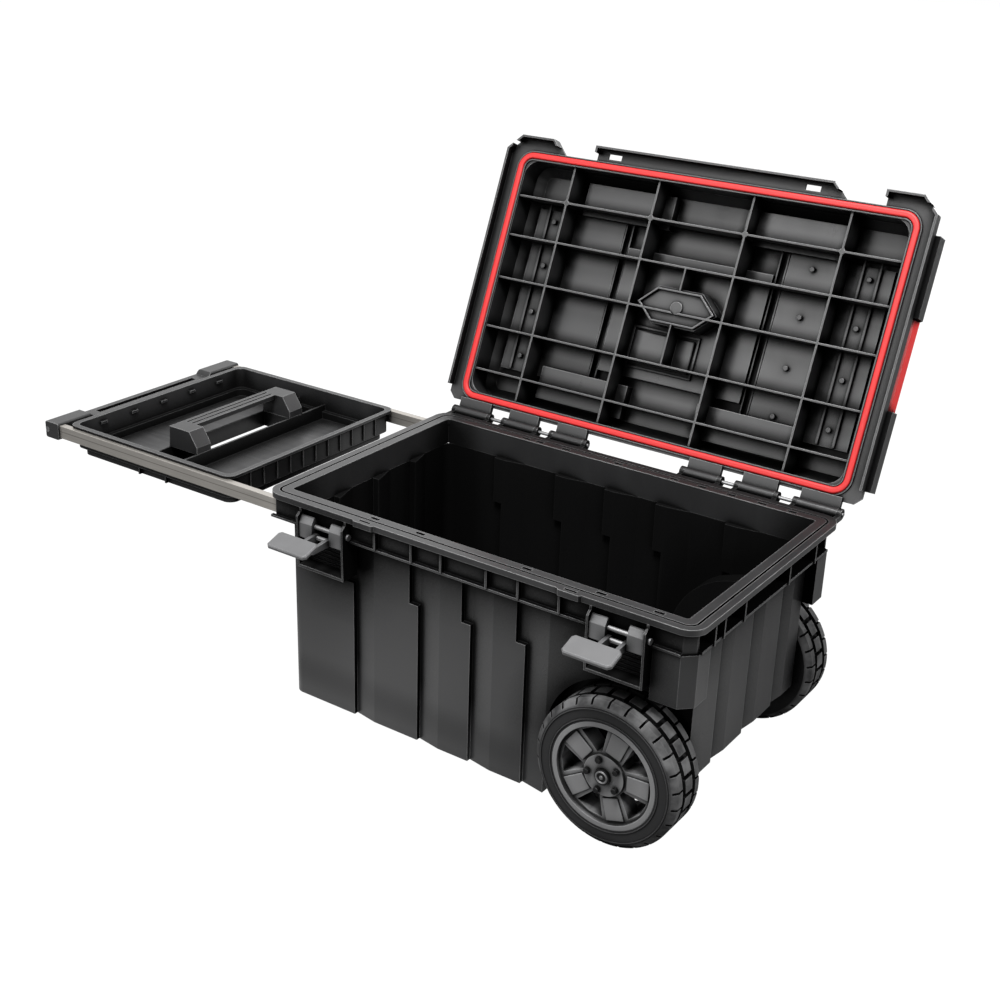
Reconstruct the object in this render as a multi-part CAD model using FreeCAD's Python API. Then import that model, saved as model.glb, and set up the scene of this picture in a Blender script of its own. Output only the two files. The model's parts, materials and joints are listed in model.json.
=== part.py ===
"""Wheeled jobsite storage box: fluted tub, ribbed lid, draw latches, pull-out handle, lift-off tray.

Millimetres. +X points to the wheels, -X to the handle, -Y to the latches, +Z up.
The origin is on the floor under the middle of the tub, on the sole of the middle runner.
The pieces stand as photographed: lid open, handle pulled out with the tray on it, latches open.
"""
import FreeCAD, Part
import math
import os

Vec = FreeCAD.Vector
ORIGIN = Vec(0, 0, 0)
X_AXIS = Vec(1, 0, 0)
Y_AXIS = Vec(0, 1, 0)
Z_AXIS = Vec(0, 0, 1)

# Rim
RIM_LENGTH = 640.0
RIM_WIDTH = 394.0
RIM_TOP = 310.0
RIM_CORNER = 24.0
FLANGE_THICK = 8.0
SEAL_GROOVE_INSET = 10.0
SEAL_GROOVE_WIDTH = 3.0
SEAL_GROOVE_DEPTH = 4.0
RIM_SLOT = (13.0, 5.0, 4.0)
FRONT_SLOTS = (-149.0, -77.0, 82.0, 185.0, 261.0)
REAR_SLOTS = (-159.0, -136.0, -91.0, -5.0, 84.0, 126.0, 170.0, 215.0, 258.0)
EDGE_SLOT = (17.0, 3.5, 5.0)
EDGE_SLOT_X = 153.0
EDGE_BUMP = 3.0

# Tub walls
WALL = 3.5
WALL_INSET = 22.0
FLOOR_CLEARANCE = 8.0
BODY_CORNER = 16.0
OPENING_CORNER = 4.0
BAND_HEIGHT = 38.0
FLUTE_DEPTH = 6.0
FLUTE_RAMP = 34.0
FLUTE_STEP_DROP = 104.0
FLUTE_STEP_SHIFT = 14.0
SIDE_FLUTES = (-265.0, -188.0, -82.0, 0.0, 82.0, 188.0)
END_FLUTES = (-85.0, -2.0, 81.0)
END_FLUTE_DEPTH = 10.0
WHEEL_END_RISE = 71.0
WHEEL_END_RUN = 116.0
FENDER_START = 58.0
FENDER_PROUD = 15.0
FENDER_CORNER = 15.0
FENDER_IN = 10.0

# Band under the rim
BAND_RIB = 3.0
BAND_RIB_INSET = 3.0
BAND_LEDGE_INSET = 5.0
BAND_LEDGE_THICK = 3.0
END_LEDGE_DROP = 38.0
BAND_CORNER = 12.0
FRONT_BAND_RIBS = (-285.0, -138.0, -80.0, -34.0, 34.0, 80.0, 138.0, 285.0)
END_BAND_RIBS = (-145.0, -122.0, -70.0, 51.0, 128.0)

# Runners
RUNNER_WIDTH = 26.0
RUNNER_FROM_WALL = 28.0
RUNNER_FROM_ARCH = 18.0
RUNNER_PITCH = 110.0
RUNNER_NOSE = 18.0

# Handle rails and their channels
RAIL_WIDTH = 10.0
RAIL_HEIGHT = 19.0
RAIL_WALL = 1.6
RAIL_GAP = 0.5
RAIL_LIFT = 1.5
RAIL_HELD = 65.0
SKIN = 2.2
BAND_WALL = 2.3
CHANNEL_FLOOR = 2.5
GUIDE_LENGTH = 14.0
GUIDE_PITCH = 34.0
GUIDE_GAP = 0.15
PLUG_LENGTH = 12.0
PLUG_CAP = 2.5

# Crossbar
CROSSBAR_DEPTH = 28.0
CROSSBAR_OVER = 2.8
CROSSBAR_ABOVE = 3.0
CROSSBAR_BELOW = 3.0
CROSSBAR_PAD = 62.0
CROSSBAR_DIP = 7.0
CROSSBAR_CORNER = 3.0
CROSSBAR_SOCKET = 21.0
GRIP_SLOT = (10.0, 200.0, 9.0)
SCREW_HEAD_R = 3.6
SCREW_HEAD = 2.0
SCREW_SHANK_R = 1.8
SCREW_LENGTH = 9.0

# Tray
TRAY_LENGTH = 325.0
TRAY_FROM_RIM = 82.0
TRAY_BAR_GAP = 13.0
TRAY_DEPTH = 46.0
TRAY_WALL = 2.5
TRAY_FLANGE = 4.0
TRAY_SEAT = 3.8
TRAY_RAIL_GAP = 1.7
TRAY_CORNER = 14.0
TRAY_OVERHANG = 5.0
TRAY_LEDGE = 7.0
TRAY_LEDGE_RISE = 14.0
TRAY_RIB = 2.0
TRAY_RIB_PITCH = 27.0
TRAY_NIB = (12.0, 3.0, 4.0)
TRAY_NIB_DROP = 13.0
TRAY_NIB_PITCH = 60.0
TRAY_NIB_COUNT = 5
DIVIDER_HEIGHT = 24.0
SPINE_WIDTH = 56.0
HAND_HOLE_FRONT = -80.0
HAND_HOLE_REAR = 88.0
GRIP_BLOCK = 28.0
GRIP_RISE = 10.0
GRIP_BAR_WIDTH = 25.0
GRIP_BAR_THICK = 7.0
GRIP_GROOVE = 3.0

# Lid, drawn closed and then swung open
LID_OPEN = 112.8
LID_OVER_END = 12.0
LID_OVER_FRONT = 13.5
LID_REAR_SHORT = 2.0
LID_RISE = 58.0
LID_CHAMFER = 22.0
LID_REAR_CHAMFER = 10.0
LIP_DROP = 12.5
LIP_THICK = 3.0
LIP_GAP = 4.0
BRIM_GAP = 4.5
BRIM_THICK = 3.5
CROWN_INSET_X = 18.0
CROWN_INSET_Y = 17.0
CROWN_CORNER = 26.0
CROWN_CHAMFER = 12.0
LID_WALL = 3.0
LID_PANEL = 3.5
LID_RIB = 2.6
LID_RIB_START = 6.0
LID_RIBS_X = (-216.0, -74.0, 74.0, 216.0)
LID_RIBS_Y = (-123.5, -64.0, 1.0, 76.0, 142.0)
LID_BOSS_R = 4.0
LID_HOLE = (22.0, 8.0)
LID_HOLE_X = 154.0
LID_HOLE_INSET = 11.0
NOTCH_DEPTH = 20.0
NOTCH_LEFT = 15.0
NOTCH_RIGHT = 38.0
NOTCH_FLARE = 19.0
CENTRE_WELL = (60.0, 34.0, 24.0)
CENTRE_WELL_Y = -6.5
CENTRE_WELL_DEPTH = 44.0
WELL_PIP_R = 9.0
WELL_PIP = 2.5
TOP_FIELD = (112.0, -78.0, 98.0, 13.0)
SIDE_FIELD_X = 134.0
SIDE_FIELD_INSET = (24.0, 68.0, 52.0)
SIDE_FIELD_DEPTH = 9.0
END_FIELD = (60.0, 200.0)
END_FIELD_INSET = 20.0
END_FIELD_WIDTH = 42.0
END_FIELD_DEPTH = 18.0

# Seal
SEAL_INSET = 8.5
SEAL_WIDTH = 9.0
SEAL_CORNER = 24.0
SEAL_SEAT = 1.5
SEAL_GAP = 0.3

# Lid hinge
HINGE_BEHIND = 14.0
HINGE_BELOW = 0.2
TAB_GAP = 1.0
HINGE_PIN_R = 2.5
HINGE_FIT = 0.1
PIN_SEAT = 0.02
KNUCKLE_R = 7.0
EAR_R = 7.5
EAR_THICK = 6.0
EAR_GAP = 0.5
HINGE_TABS_FROM_END = ((187.0, 237.0), (103.0, 154.0), (13.0, 69.0))
HINGE_PIN_OVER = 2.0

# Lid end clips
CLIP_Y = 5.5
CLIP_LENGTH = 122.0
CLIP_GAP = 0.6
BRACKET_FRONT_INSET = 16.0
BRACKET_REAR_INSET = 5.0
BRACKET_PROUD = 7.0
BRACKET_HEIGHT = 40.0
BRACKET_CHAMFER = 10.0
CLIP_THICK = 8.0
CLIP_PROUD = -1.0
CLIP_HEIGHT = 38.0
CLIP_PIVOT_IN = 10.0
CLIP_PIVOT_UP = 9.0
CLIP_BARREL_R = 6.0
CLIP_HEEL = 4.0
CLIP_PIN_R = 2.5
CLIP_PIN_SEAT = 14.0

# Latches
LATCH_FROM_END = 99.5
LATCH_SPAN = 78.0
CHEEK = 3.0
CHEEK_REACH = 7.0
CHEEK_FOOT_REACH = 6.0
CHEEK_HEIGHT = 82.0
CHEEK_TAPER_DROP = 50.0
CHEEK_TOP_GAP = 5.0
LATCH_PIVOT_IN = 3.0
LATCH_PIVOT_DROP = 30.0
ROD_R = 3.0
ROD_END_R = 4.2
ROD_END = 2.5
LOWER_ROD = (-3.0, -13.0)
ARM_SIDE = ((-3.0, 12.0), (-1.0, 13.0), (2.0, 8.0), (4.0, 3.0), (4.0, -9.0), (2.5, -16.0), (0.0, -18.0))
ARM_FRONT = ((-6.0, -18.0), (-8.0, -16.0), (-8.0, 4.0))
ARM_WIDTH = 20.8
ARM_GAP = 0.6
FLAP_WIDTH = 65.0
FLAP_LENGTH = 29.5
FLAP_THICK = 5.0
FLAP_DROOP = 18.9
FLAP_OUT = 43.5
FLAP_UP = 17.5
FLAP_CORNER = 4.0
FLAP_SKIRT = 9.0
FLAP_LUG = 5.0
FLAP_LUG_R = 5.2
PAD_BACK = 6.0
PAD_RIB = 3.0
PAD_RIB_PITCH = 5.5
PAD_RIB_COUNT = 6
PAD_SHELF = 4.0

# Wheels
WHEEL_RADIUS = 97.0
WHEEL_WIDTH = 64.0
WHEEL_FROM_END = 97.0
WHEEL_PROUD = 40.0
ARCH_GAP = 10.0
ARCH_SIDE_GAP = 5.0
TYRE_WALL = 27.0
TYRE_SHOULDER = 8.0
TREAD_DEPTH = 6.0
TREAD_SLOT = 3.0
TREAD_COUNT = 26
TREAD_GROOVE = 7.0
TREAD_SHOULDER = 17.0
RIM_RING = 6.0
RIM_DISH = 6.0
SPOKE_DEPTH = 24.0
SPOKE_COUNT = 5
WINDOW_INNER = 29.0
WINDOW_EDGE = 3.0
WINDOW_NARROW = 7.0
WINDOW_WIDE = 37.0
WINDOW_TURN = 54.0
HUB_R = 18.0
HUB_RING_R = 27.0
HUB_RING = 4.0
BOLT_CIRCLE_R = 21.5
BOLT_R = 3.6
BOLT_HEAD = 4.0
BUSH_WALL = 3.0
AXLE_R = 8.0
AXLE_FIT = 0.08
AXLE_COLLAR_R = 17.0
AXLE_COLLAR = 3.5
AXLE_BOSS_R = 24.0
AXLE_BOSS = 5.0
NUT_FLATS = 27.0
NUT_THICK = 9.0
CAP_R = 10.0
CAP_THICK = 3.0
CAP_EYE_R = 5.5
CAP_EYE = 1.5

# Places worked out from the sizes above
half_l = RIM_LENGTH / 2
half_w = RIM_WIDTH / 2
wall_x = half_l - WALL_INSET
wall_y = half_w - WALL_INSET
inner_x = wall_x - WALL
inner_y = wall_y - WALL
band_z = RIM_TOP - BAND_HEIGHT
flange_z = RIM_TOP - FLANGE_THICK
flute_step_z = RIM_TOP - FLUTE_STEP_DROP
rail_in = inner_y + SKIN + RAIL_GAP
rail_out = rail_in + RAIL_WIDTH
channel_in = inner_y + SKIN
channel_out = rail_out + RAIL_GAP
band_y = channel_out + BAND_WALL
band_x = wall_x + band_y - wall_y
rail_z = band_z + CHANNEL_FLOOR + RAIL_LIFT
rail_top = rail_z + RAIL_HEIGHT
rail_end_x = -half_l + RAIL_HELD
tray_x1 = -half_l - TRAY_FROM_RIM
tray_x0 = tray_x1 - TRAY_LENGTH
tray_mid = (tray_x0 + tray_x1) / 2
bar_in_x = tray_x0 - TRAY_BAR_GAP
bar_out_x = bar_in_x - CROSSBAR_DEPTH
tray_half = rail_in - TRAY_RAIL_GAP
tray_z = rail_top + TRAY_FLANGE
tray_floor = tray_z - TRAY_DEPTH
axle_x = half_l - WHEEL_FROM_END
axle_z = WHEEL_RADIUS
wheel_face = wall_y + WHEEL_PROUD
wheel_back = wheel_face - WHEEL_WIDTH
arch_r = WHEEL_RADIUS + ARCH_GAP
arch_y = wheel_back - ARCH_SIDE_GAP
hinge_y = half_w + HINGE_BEHIND
hinge_z = RIM_TOP - HINGE_BELOW
lid_x = half_l + LID_OVER_END
lid_front = half_w + LID_OVER_FRONT
lid_rear = half_w - LID_REAR_SHORT
lid_top = RIM_TOP + LID_RISE
seal_x = half_l - SEAL_INSET
seal_y = half_w - SEAL_INSET
hinge_tabs_x = [(half_l - far, half_l - near) for near, far in HINGE_TABS_FROM_END]
brim_z = RIM_TOP + BRIM_GAP
crown_z = brim_z + BRIM_THICK
crown_x = half_l - CROWN_INSET_X
crown_y = half_w - CROWN_INSET_Y
panel_z = lid_top - LID_PANEL
latch_x = half_l - LATCH_FROM_END
cheek_z = flange_z - CHEEK_HEIGHT
pivot_y = LATCH_PIVOT_IN - half_w
pivot_z = RIM_TOP - LATCH_PIVOT_DROP

YZ_PLANE = FreeCAD.Rotation(Y_AXIS, Z_AXIS, X_AXIS, "ZXY")
XZ_PLANE = FreeCAD.Rotation(X_AXIS, Z_AXIS, -Y_AXIS, "ZXY")


def face(points):
    """A flat face in XY from corners (x, y) or, where the corner is round, (x, y, radius)."""
    spots = [Vec(p[0], p[1], 0) for p in points]
    corners = []
    for i, p in enumerate(points):
        here = spots[i]
        radius = p[2] if len(p) > 2 else 0
        if radius == 0:
            corners.append((here, None, here))
            continue
        back = (spots[i - 1] - here).normalize()
        ahead = (spots[(i + 1) % len(spots)] - here).normalize()
        half = back.getAngle(ahead) / 2
        reach = radius / math.tan(half)
        middle = here + (back + ahead).normalize() * (radius / math.sin(half) - radius)
        corners.append((here + back * reach, middle, here + ahead * reach))
    edges = []
    for i, (start, middle, end) in enumerate(corners):
        if middle is not None:
            edges.append(Part.Arc(start, middle, end).toShape())
        following = corners[(i + 1) % len(corners)][0]
        if end.distanceToPoint(following) > 1e-6:
            edges.append(Part.LineSegment(end, following).toShape())
    return Part.Face(Part.Wire(edges))


def prism(points, z0, z1):
    """Corners in XY, drawn up from z0 to z1."""
    return face(points).extrude(Vec(0, 0, z1 - z0)).translate(Vec(0, 0, z0))


def prism_x(points, x0, x1):
    """Corners in YZ, drawn along X."""
    solid = face(points).extrude(Vec(0, 0, x1 - x0))
    solid.Placement = FreeCAD.Placement(Vec(x0, 0, 0), YZ_PLANE)
    return solid


def prism_y(points, y0, y1):
    """Corners in XZ, drawn along Y."""
    solid = face(points).extrude(Vec(0, 0, y1 - y0))
    solid.Placement = FreeCAD.Placement(Vec(0, y1, 0), XZ_PLANE)
    return solid


def box(x0, x1, y0, y1, z0, z1):
    return Part.makeBox(x1 - x0, y1 - y0, z1 - z0, Vec(x0, y0, z0))


def block(half_x, half_y, z0, z1, radius):
    """A block about the Z axis with round upright corners."""
    corners = [(-half_x, -half_y), (half_x, -half_y), (half_x, half_y), (-half_x, half_y)]
    return prism([(x, y, radius) for x, y in corners], z0, z1)


def rod_x(y, z, radius, x0, x1):
    return Part.makeCylinder(radius, x1 - x0, Vec(x0, y, z), X_AXIS)


def rod_y(x, z, radius, y0, y1):
    return Part.makeCylinder(radius, y1 - y0, Vec(x, y0, z), Y_AXIS)


def rod_z(x, y, radius, z0, z1):
    return Part.makeCylinder(radius, z1 - z0, Vec(x, y, z0), Z_AXIS)


def join(*solids):
    return solids[0].fuse(list(solids[1:])).removeSplitter()


def swap_y(solid):
    """The same piece on the other long side."""
    return solid.mirror(ORIGIN, Y_AXIS)


def swap_x(solid):
    """The same piece on the other end."""
    return solid.mirror(ORIGIN, X_AXIS)


def fitting(places, half):
    """The places of a row that lie well inside half a length."""
    return [p for p in places if abs(p) < half - RIM_SLOT[0]]


def group(*solids):
    return Part.makeCompound([s for piece in solids for s in piece.Solids])


# Tub


def fluted_outline(inset, widen):
    """The tub's plan: sawtooth flutes, each a step inwards and a ramp back out to the wall."""

    def flutes(edges, half, depth, shift):
        """Corners (along the wall, in from the wall) of the flutes that fit between the round corners."""
        fall = depth / FLUTE_RAMP
        ease = inset * (math.hypot(1, fall) - 1) / fall
        first = -half + BODY_CORNER + FLUTE_STEP_SHIFT + WALL
        last = half - BODY_CORNER - FLUTE_RAMP - WALL
        corners = []
        for edge in edges:
            if first < edge < last:
                step = edge - shift - inset
                corners += [(step, 0), (step, depth)]
                corners += [(edge + ease, depth), (edge + FLUTE_RAMP + ease, 0)]
        return corners

    hx = wall_x - inset
    hy = wall_y - inset
    corner = BODY_CORNER - inset
    side = flutes(SIDE_FLUTES, wall_x, FLUTE_DEPTH, widen)
    end = flutes(END_FLUTES, wall_y, END_FLUTE_DEPTH, 0)
    points = [(-hx, -hy, corner)] + [(u, v - hy) for u, v in side]
    points += [(hx, -hy, corner)] + [(hx - v, u) for u, v in end]
    points += [(hx, hy, corner)] + [(u, hy - v) for u, v in reversed(side)]
    points += [(-hx, hy, corner)] + [(v - hx, u) for u, v in reversed(end)]
    return points


def wheel_end_slope(grow):
    """The wedge of air under the sloped bottom at the wheel end, grown by a wall inside the tub."""
    slope = WHEEL_END_RISE / WHEEL_END_RUN
    lift = FLOOR_CLEARANCE + grow * math.hypot(1, slope)
    start = wall_x - WHEEL_END_RUN
    run_in = (lift + FLOOR_CLEARANCE) / slope
    low = (start - run_in, lift - run_in * slope)
    high = (half_l, lift + (half_l - start) * slope)
    return prism_y([low, (half_l, low[1]), high], -half_w, half_w)


def wheel_arch(grow):
    """Air round the front wheel: round above the axle, open down to the floor and out to the corner."""
    reach = arch_r + grow
    deep = -(arch_y - grow)
    barrel = rod_y(axle_x, axle_z, reach, -half_w, deep)
    below = box(axle_x - reach, half_l, -half_w, deep, -ARCH_GAP, axle_z)
    corner = box(axle_x, half_l, -half_w, deep, -ARCH_GAP, axle_z + reach)
    return join(barrel, below, corner)


def tub_volume(inset, z0, z1, shelf):
    """The tub's space up to the band; the flutes widen above the step, over a shelf."""
    narrow = fluted_outline(inset, 0)
    wide = fluted_outline(inset, FLUTE_STEP_SHIFT)
    low = prism(narrow, z0, flute_step_z - shelf)
    high = prism(wide, flute_step_z, z1)
    if shelf == 0:
        return join(low, high)
    middle = prism(narrow, flute_step_z - shelf, flute_step_z)
    middle = middle.common(prism(wide, flute_step_z - shelf, flute_step_z))
    return join(low, middle, high)


def fender():
    """Solid corner block over the front wheel, from the arch up to the band."""
    x0 = half_l - FENDER_START
    x1 = wall_x + FENDER_PROUD
    y1 = -wall_y - FENDER_PROUD
    inside = FENDER_IN - wall_y
    plan = [(x0, y1), (x1 - FENDER_CORNER, y1), (x1, y1 + FENDER_CORNER), (x1, -arch_y)]
    plan += [(wall_x - FENDER_IN, -arch_y), (wall_x - FENDER_IN, inside), (x0, inside)]
    return prism(plan, axle_z + arch_r, band_z)


def tub_shell():
    outer = tub_volume(0, FLOOR_CLEARANCE, band_z, 0)
    outer = join(outer, fender(), swap_y(fender()))
    inner = tub_volume(WALL, FLOOR_CLEARANCE, band_z, WALL)
    outer = outer.cut([wheel_end_slope(0), wheel_arch(0), swap_y(wheel_arch(0))])
    inner = inner.cut([wheel_end_slope(WALL), wheel_arch(WALL), swap_y(wheel_arch(WALL))])
    top = block(wall_x, wall_y, band_z - WALL, band_z, BODY_CORNER)
    top = top.cut(prism(fluted_outline(WALL, FLUTE_STEP_SHIFT), band_z - WALL, band_z))
    shell = outer.cut(inner).fuse(top)
    seat = -(arch_y - WALL)
    boss = rod_y(axle_x, axle_z, AXLE_BOSS_R, seat, seat + AXLE_BOSS)
    bore = rod_y(axle_x, axle_z, AXLE_R + PIN_SEAT, -half_w, seat + AXLE_BOSS)
    shell = shell.fuse([boss, swap_y(boss)]).cut([bore, swap_y(bore)])
    return shell.removeSplitter()


def tub_floor():
    """Flat floor between the walls, from the handle end to the slope and the arches."""
    plate = prism(fluted_outline(WALL, 0), FLOOR_CLEARANCE, FLOOR_CLEARANCE + WALL)
    return plate.cut([wheel_end_slope(WALL), wheel_arch(WALL), swap_y(wheel_arch(WALL))])


def skid_runners():
    """Three runners; the middle one stands on the origin."""
    start = RUNNER_FROM_WALL - wall_x
    end = axle_x - arch_r - RUNNER_FROM_ARCH
    side = [(start, FLOOR_CLEARANCE), (start + RUNNER_NOSE, 0)]
    side += [(end - RUNNER_NOSE, 0), (end, FLOOR_CLEARANCE)]
    places = [-RUNNER_PITCH, 0, RUNNER_PITCH]
    return group(*[prism_y(side, y - RUNNER_WIDTH / 2, y + RUNNER_WIDTH / 2) for y in places])


# Rim frame


def rim_flange():
    plate = block(half_l, half_w, flange_z, RIM_TOP, RIM_CORNER)
    bump = [(-EDGE_SLOT[0], 0), (EDGE_SLOT[0], 0), (EDGE_SLOT[0] - EDGE_BUMP, -EDGE_BUMP)]
    bump += [(-EDGE_SLOT[0] + EDGE_BUMP, -EDGE_BUMP)]
    bump = prism(bump, flange_z, RIM_TOP)
    bumps = [bump.translated(Vec(side * EDGE_SLOT_X, -half_w, 0)) for side in (-1, 1)]
    plate = plate.fuse(bumps)
    outer = SEAL_GROOVE_INSET
    inner = outer + SEAL_GROOVE_WIDTH
    floor = RIM_TOP - SEAL_GROOVE_DEPTH
    groove = block(half_l - outer, half_w - outer, floor, RIM_TOP, RIM_CORNER - outer)
    groove = groove.cut(block(half_l - inner, half_w - inner, floor, RIM_TOP, RIM_CORNER - inner))
    opening = block(inner_x, inner_y, flange_z, RIM_TOP, OPENING_CORNER)
    length, width, depth = RIM_SLOT
    slot = box(-length / 2, length / 2, -width / 2, width / 2, RIM_TOP - depth, RIM_TOP)
    lip_y = (half_w - inner + inner_y) / 2
    slots = [slot.translated(Vec(x, -lip_y, 0)) for x in fitting(FRONT_SLOTS, inner_x)]
    slots += [slot.translated(Vec(x, lip_y, 0)) for x in fitting(REAR_SLOTS, inner_x)]
    length, width, depth = EDGE_SLOT
    slot = box(-length / 2, length / 2, -width / 2, width / 2, RIM_TOP - depth, RIM_TOP)
    slots += [slot.translated(Vec(side * EDGE_SLOT_X, width - half_w, 0)) for side in (-1, 1)]
    return plate.cut([groove, opening] + slots)


def rail_channel():
    """Front channel: inner skin, floor and back wall of the band, open towards the handle."""
    end = band_x - BAND_CORNER - BAND_WALL
    plan = [(-band_x, -band_y), (band_x - BAND_CORNER, -band_y), (band_x, BAND_CORNER - band_y)]
    plan += [(band_x, -inner_y), (-band_x, -inner_y)]
    body = prism(plan, band_z, flange_z)
    hollow = box(-band_x, end, -channel_out, -channel_in, band_z + CHANNEL_FLOOR, flange_z)
    return body.cut(hollow)


def band_cells():
    """Upright ribs and the ledge that close the band's cells, on all four sides."""
    top = flange_z
    low = band_z + BAND_LEDGE_THICK
    reach = half_w - BAND_LEDGE_INSET
    pieces = [box(-half_l + BAND_LEDGE_INSET, band_x - BAND_CORNER, -reach, -band_y, band_z, low)]
    out = half_w - BAND_RIB_INSET
    for x in fitting(FRONT_BAND_RIBS, wall_x):
        pieces.append(box(x - BAND_RIB / 2, x + BAND_RIB / 2, -out, -band_y, low, top))
    pieces += [swap_y(p) for p in pieces]
    ledge = RIM_TOP - END_LEDGE_DROP
    ends = [box(wall_x, half_l - BAND_LEDGE_INSET, -inner_y, inner_y, ledge, ledge + BAND_LEDGE_THICK)]
    out = half_l - BAND_RIB_INSET
    for y in fitting(END_BAND_RIBS, inner_y):
        ends.append(box(wall_x, out, y - BAND_RIB / 2, y + BAND_RIB / 2, ledge, top))
    return pieces + ends + [swap_x(p) for p in ends]


def latch_seat():
    """Cheeks and ribbed pad of one latch, about x = 0."""
    half = LATCH_SPAN / 2
    reach = -half_w - CHEEK_REACH
    foot = -half_w - CHEEK_FOOT_REACH
    top = flange_z - CHEEK_TOP_GAP
    back = -band_y
    side = [(-wall_y, cheek_z), (foot, cheek_z), (reach, RIM_TOP - CHEEK_TAPER_DROP)]
    side += [(reach, top - CHEEK_TOP_GAP), (reach + CHEEK_TOP_GAP, top), (-half_w, top)]
    side += [(-half_w, flange_z), (back, flange_z)]
    side += [(back, band_z), (-wall_y, band_z)]
    cheek = prism_x(side, half - CHEEK, half)
    cheek = cheek.cut(rod_x(pivot_y, pivot_z, ROD_R + PIN_SEAT, -half, half))
    face_y = -wall_y - PAD_BACK
    comb = [(-wall_y, cheek_z), (foot, cheek_z), (foot, cheek_z + PAD_SHELF), (face_y, cheek_z + PAD_SHELF)]
    for i in range(PAD_RIB_COUNT):
        low = cheek_z + PAD_SHELF + PAD_RIB_PITCH * (i + 0.5)
        comb += [(face_y, low), (face_y - PAD_RIB, low + PAD_RIB_PITCH / 4)]
        comb.append((face_y, low + PAD_RIB_PITCH / 2))
    comb.append((face_y, cheek_z + PAD_SHELF + PAD_RIB_PITCH * (PAD_RIB_COUNT + 0.5)))
    comb.append((-wall_y, cheek_z + PAD_SHELF + PAD_RIB_PITCH * (PAD_RIB_COUNT + 1.5)))
    pad = prism_x(comb, -half + CHEEK, half - CHEEK)
    return group(cheek, swap_x(cheek), pad)


def hinge_ears():
    """Ears on both sides of each lid tab, with the pin's holes."""
    ears = []
    for start, end in hinge_tabs_x:
        for x0 in (start - EAR_GAP - EAR_THICK, end + EAR_GAP):
            arm = box(x0, x0 + EAR_THICK, half_w - FLANGE_THICK, hinge_y, flange_z, RIM_TOP)
            knuckle = rod_x(hinge_y, hinge_z, EAR_R, x0, x0 + EAR_THICK)
            ears.append(arm.fuse(knuckle))
    return ears + [swap_x(e) for e in ears]


def rim_frame():
    channel = rail_channel()
    end_wall = box(wall_x - WALL, wall_x, -inner_y, inner_y, band_z, flange_z)
    span = LATCH_SPAN / 2
    room = box(-span, span, -half_w, -band_y, band_z, band_z + BAND_LEDGE_THICK)
    rooms = [room.translated(Vec(side * latch_x, 0, 0)) for side in (-1, 1)]
    cells = [c.cut(rooms) for c in band_cells()]
    frame = join(rim_flange(), channel, swap_y(channel), end_wall, swap_x(end_wall), *cells, *hinge_ears())
    far = hinge_tabs_x[-1][1] + EAR_GAP + EAR_THICK
    bore = rod_x(hinge_y, hinge_z, HINGE_PIN_R + PIN_SEAT, -far, far)
    return frame.cut(bore).removeSplitter()


def hinge_pin():
    far = hinge_tabs_x[-1][1] + EAR_GAP + EAR_THICK + HINGE_PIN_OVER
    near = hinge_tabs_x[0][0] - EAR_GAP - EAR_THICK - HINGE_PIN_OVER
    return rod_x(hinge_y, hinge_z, HINGE_PIN_R, near, far)


# Handle


def rail_guide():
    """Two slide bushes in the front channel, one at its mouth."""
    bush = box(0, GUIDE_LENGTH, -channel_out, -channel_in, band_z + CHANNEL_FLOOR, flange_z)
    gap = GUIDE_GAP
    bore = box(0, GUIDE_LENGTH, -rail_out - gap, -rail_in + gap, rail_z - gap, rail_top + gap)
    bush = bush.cut(bore)
    return group(*[bush.translated(Vec(-band_x + shift, 0, 0)) for shift in (0, GUIDE_PITCH)])


def rail():
    tube = box(bar_in_x - CROSSBAR_SOCKET, rail_end_x, -rail_out, -rail_in, rail_z, rail_top)
    t = RAIL_WALL
    bore = box(bar_in_x - CROSSBAR_SOCKET, rail_end_x, t - rail_out, -rail_in - t, rail_z + t, rail_top - t)
    return tube.cut(bore)


def rail_plug():
    t = RAIL_WALL
    stem = box(rail_end_x - PLUG_LENGTH, rail_end_x, t - rail_out, -rail_in - t, rail_z + t, rail_top - t)
    cap = box(rail_end_x, rail_end_x + PLUG_CAP, -rail_out, -rail_in, rail_z, rail_top)
    return join(stem, cap)


def crossbar():
    """Moulded pull bar: raised pads over the rails, a lower slotted middle and a socket for each rail."""
    end = rail_out + CROSSBAR_OVER
    low = rail_z - CROSSBAR_BELOW
    high = rail_top + CROSSBAR_ABOVE
    r = CROSSBAR_CORNER
    side = [(bar_out_x, low, r), (bar_in_x, low, r), (bar_in_x, high, r), (bar_out_x, high, r)]
    bar = prism_y(side, -end, end)
    middle = end - CROSSBAR_PAD
    ramp = CROSSBAR_DIP
    dip = [(-middle, high), (-middle + ramp, high - CROSSBAR_DIP)]
    dip += [(middle - ramp, high - CROSSBAR_DIP), (middle, high)]
    dip = prism_x(dip, bar_out_x, bar_in_x)
    width, length, depth = GRIP_SLOT
    mid_x = (bar_out_x + bar_in_x) / 2
    slot_low = high - CROSSBAR_DIP - depth
    slot = box(mid_x - width / 2, mid_x + width / 2, -length / 2, length / 2, slot_low, high)
    socket = box(bar_in_x - CROSSBAR_SOCKET, bar_in_x, -rail_out, -rail_in, rail_z, rail_top)
    bore = screw(0)
    return bar.cut([dip, slot, socket, swap_y(socket), bore, swap_y(bore)])


def screw(grow):
    """A screw from the bar's front end into the rail's plugged end."""
    x = (bar_out_x + bar_in_x - CROSSBAR_SOCKET) / 2
    z = (rail_z + rail_top) / 2
    end = -(rail_out + CROSSBAR_OVER)
    head = rod_y(x, z, SCREW_HEAD_R + grow, end, end + SCREW_HEAD)
    shank = rod_y(x, z, SCREW_SHANK_R + grow, end, end + SCREW_LENGTH)
    return join(head, shank)


# Tray


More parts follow.
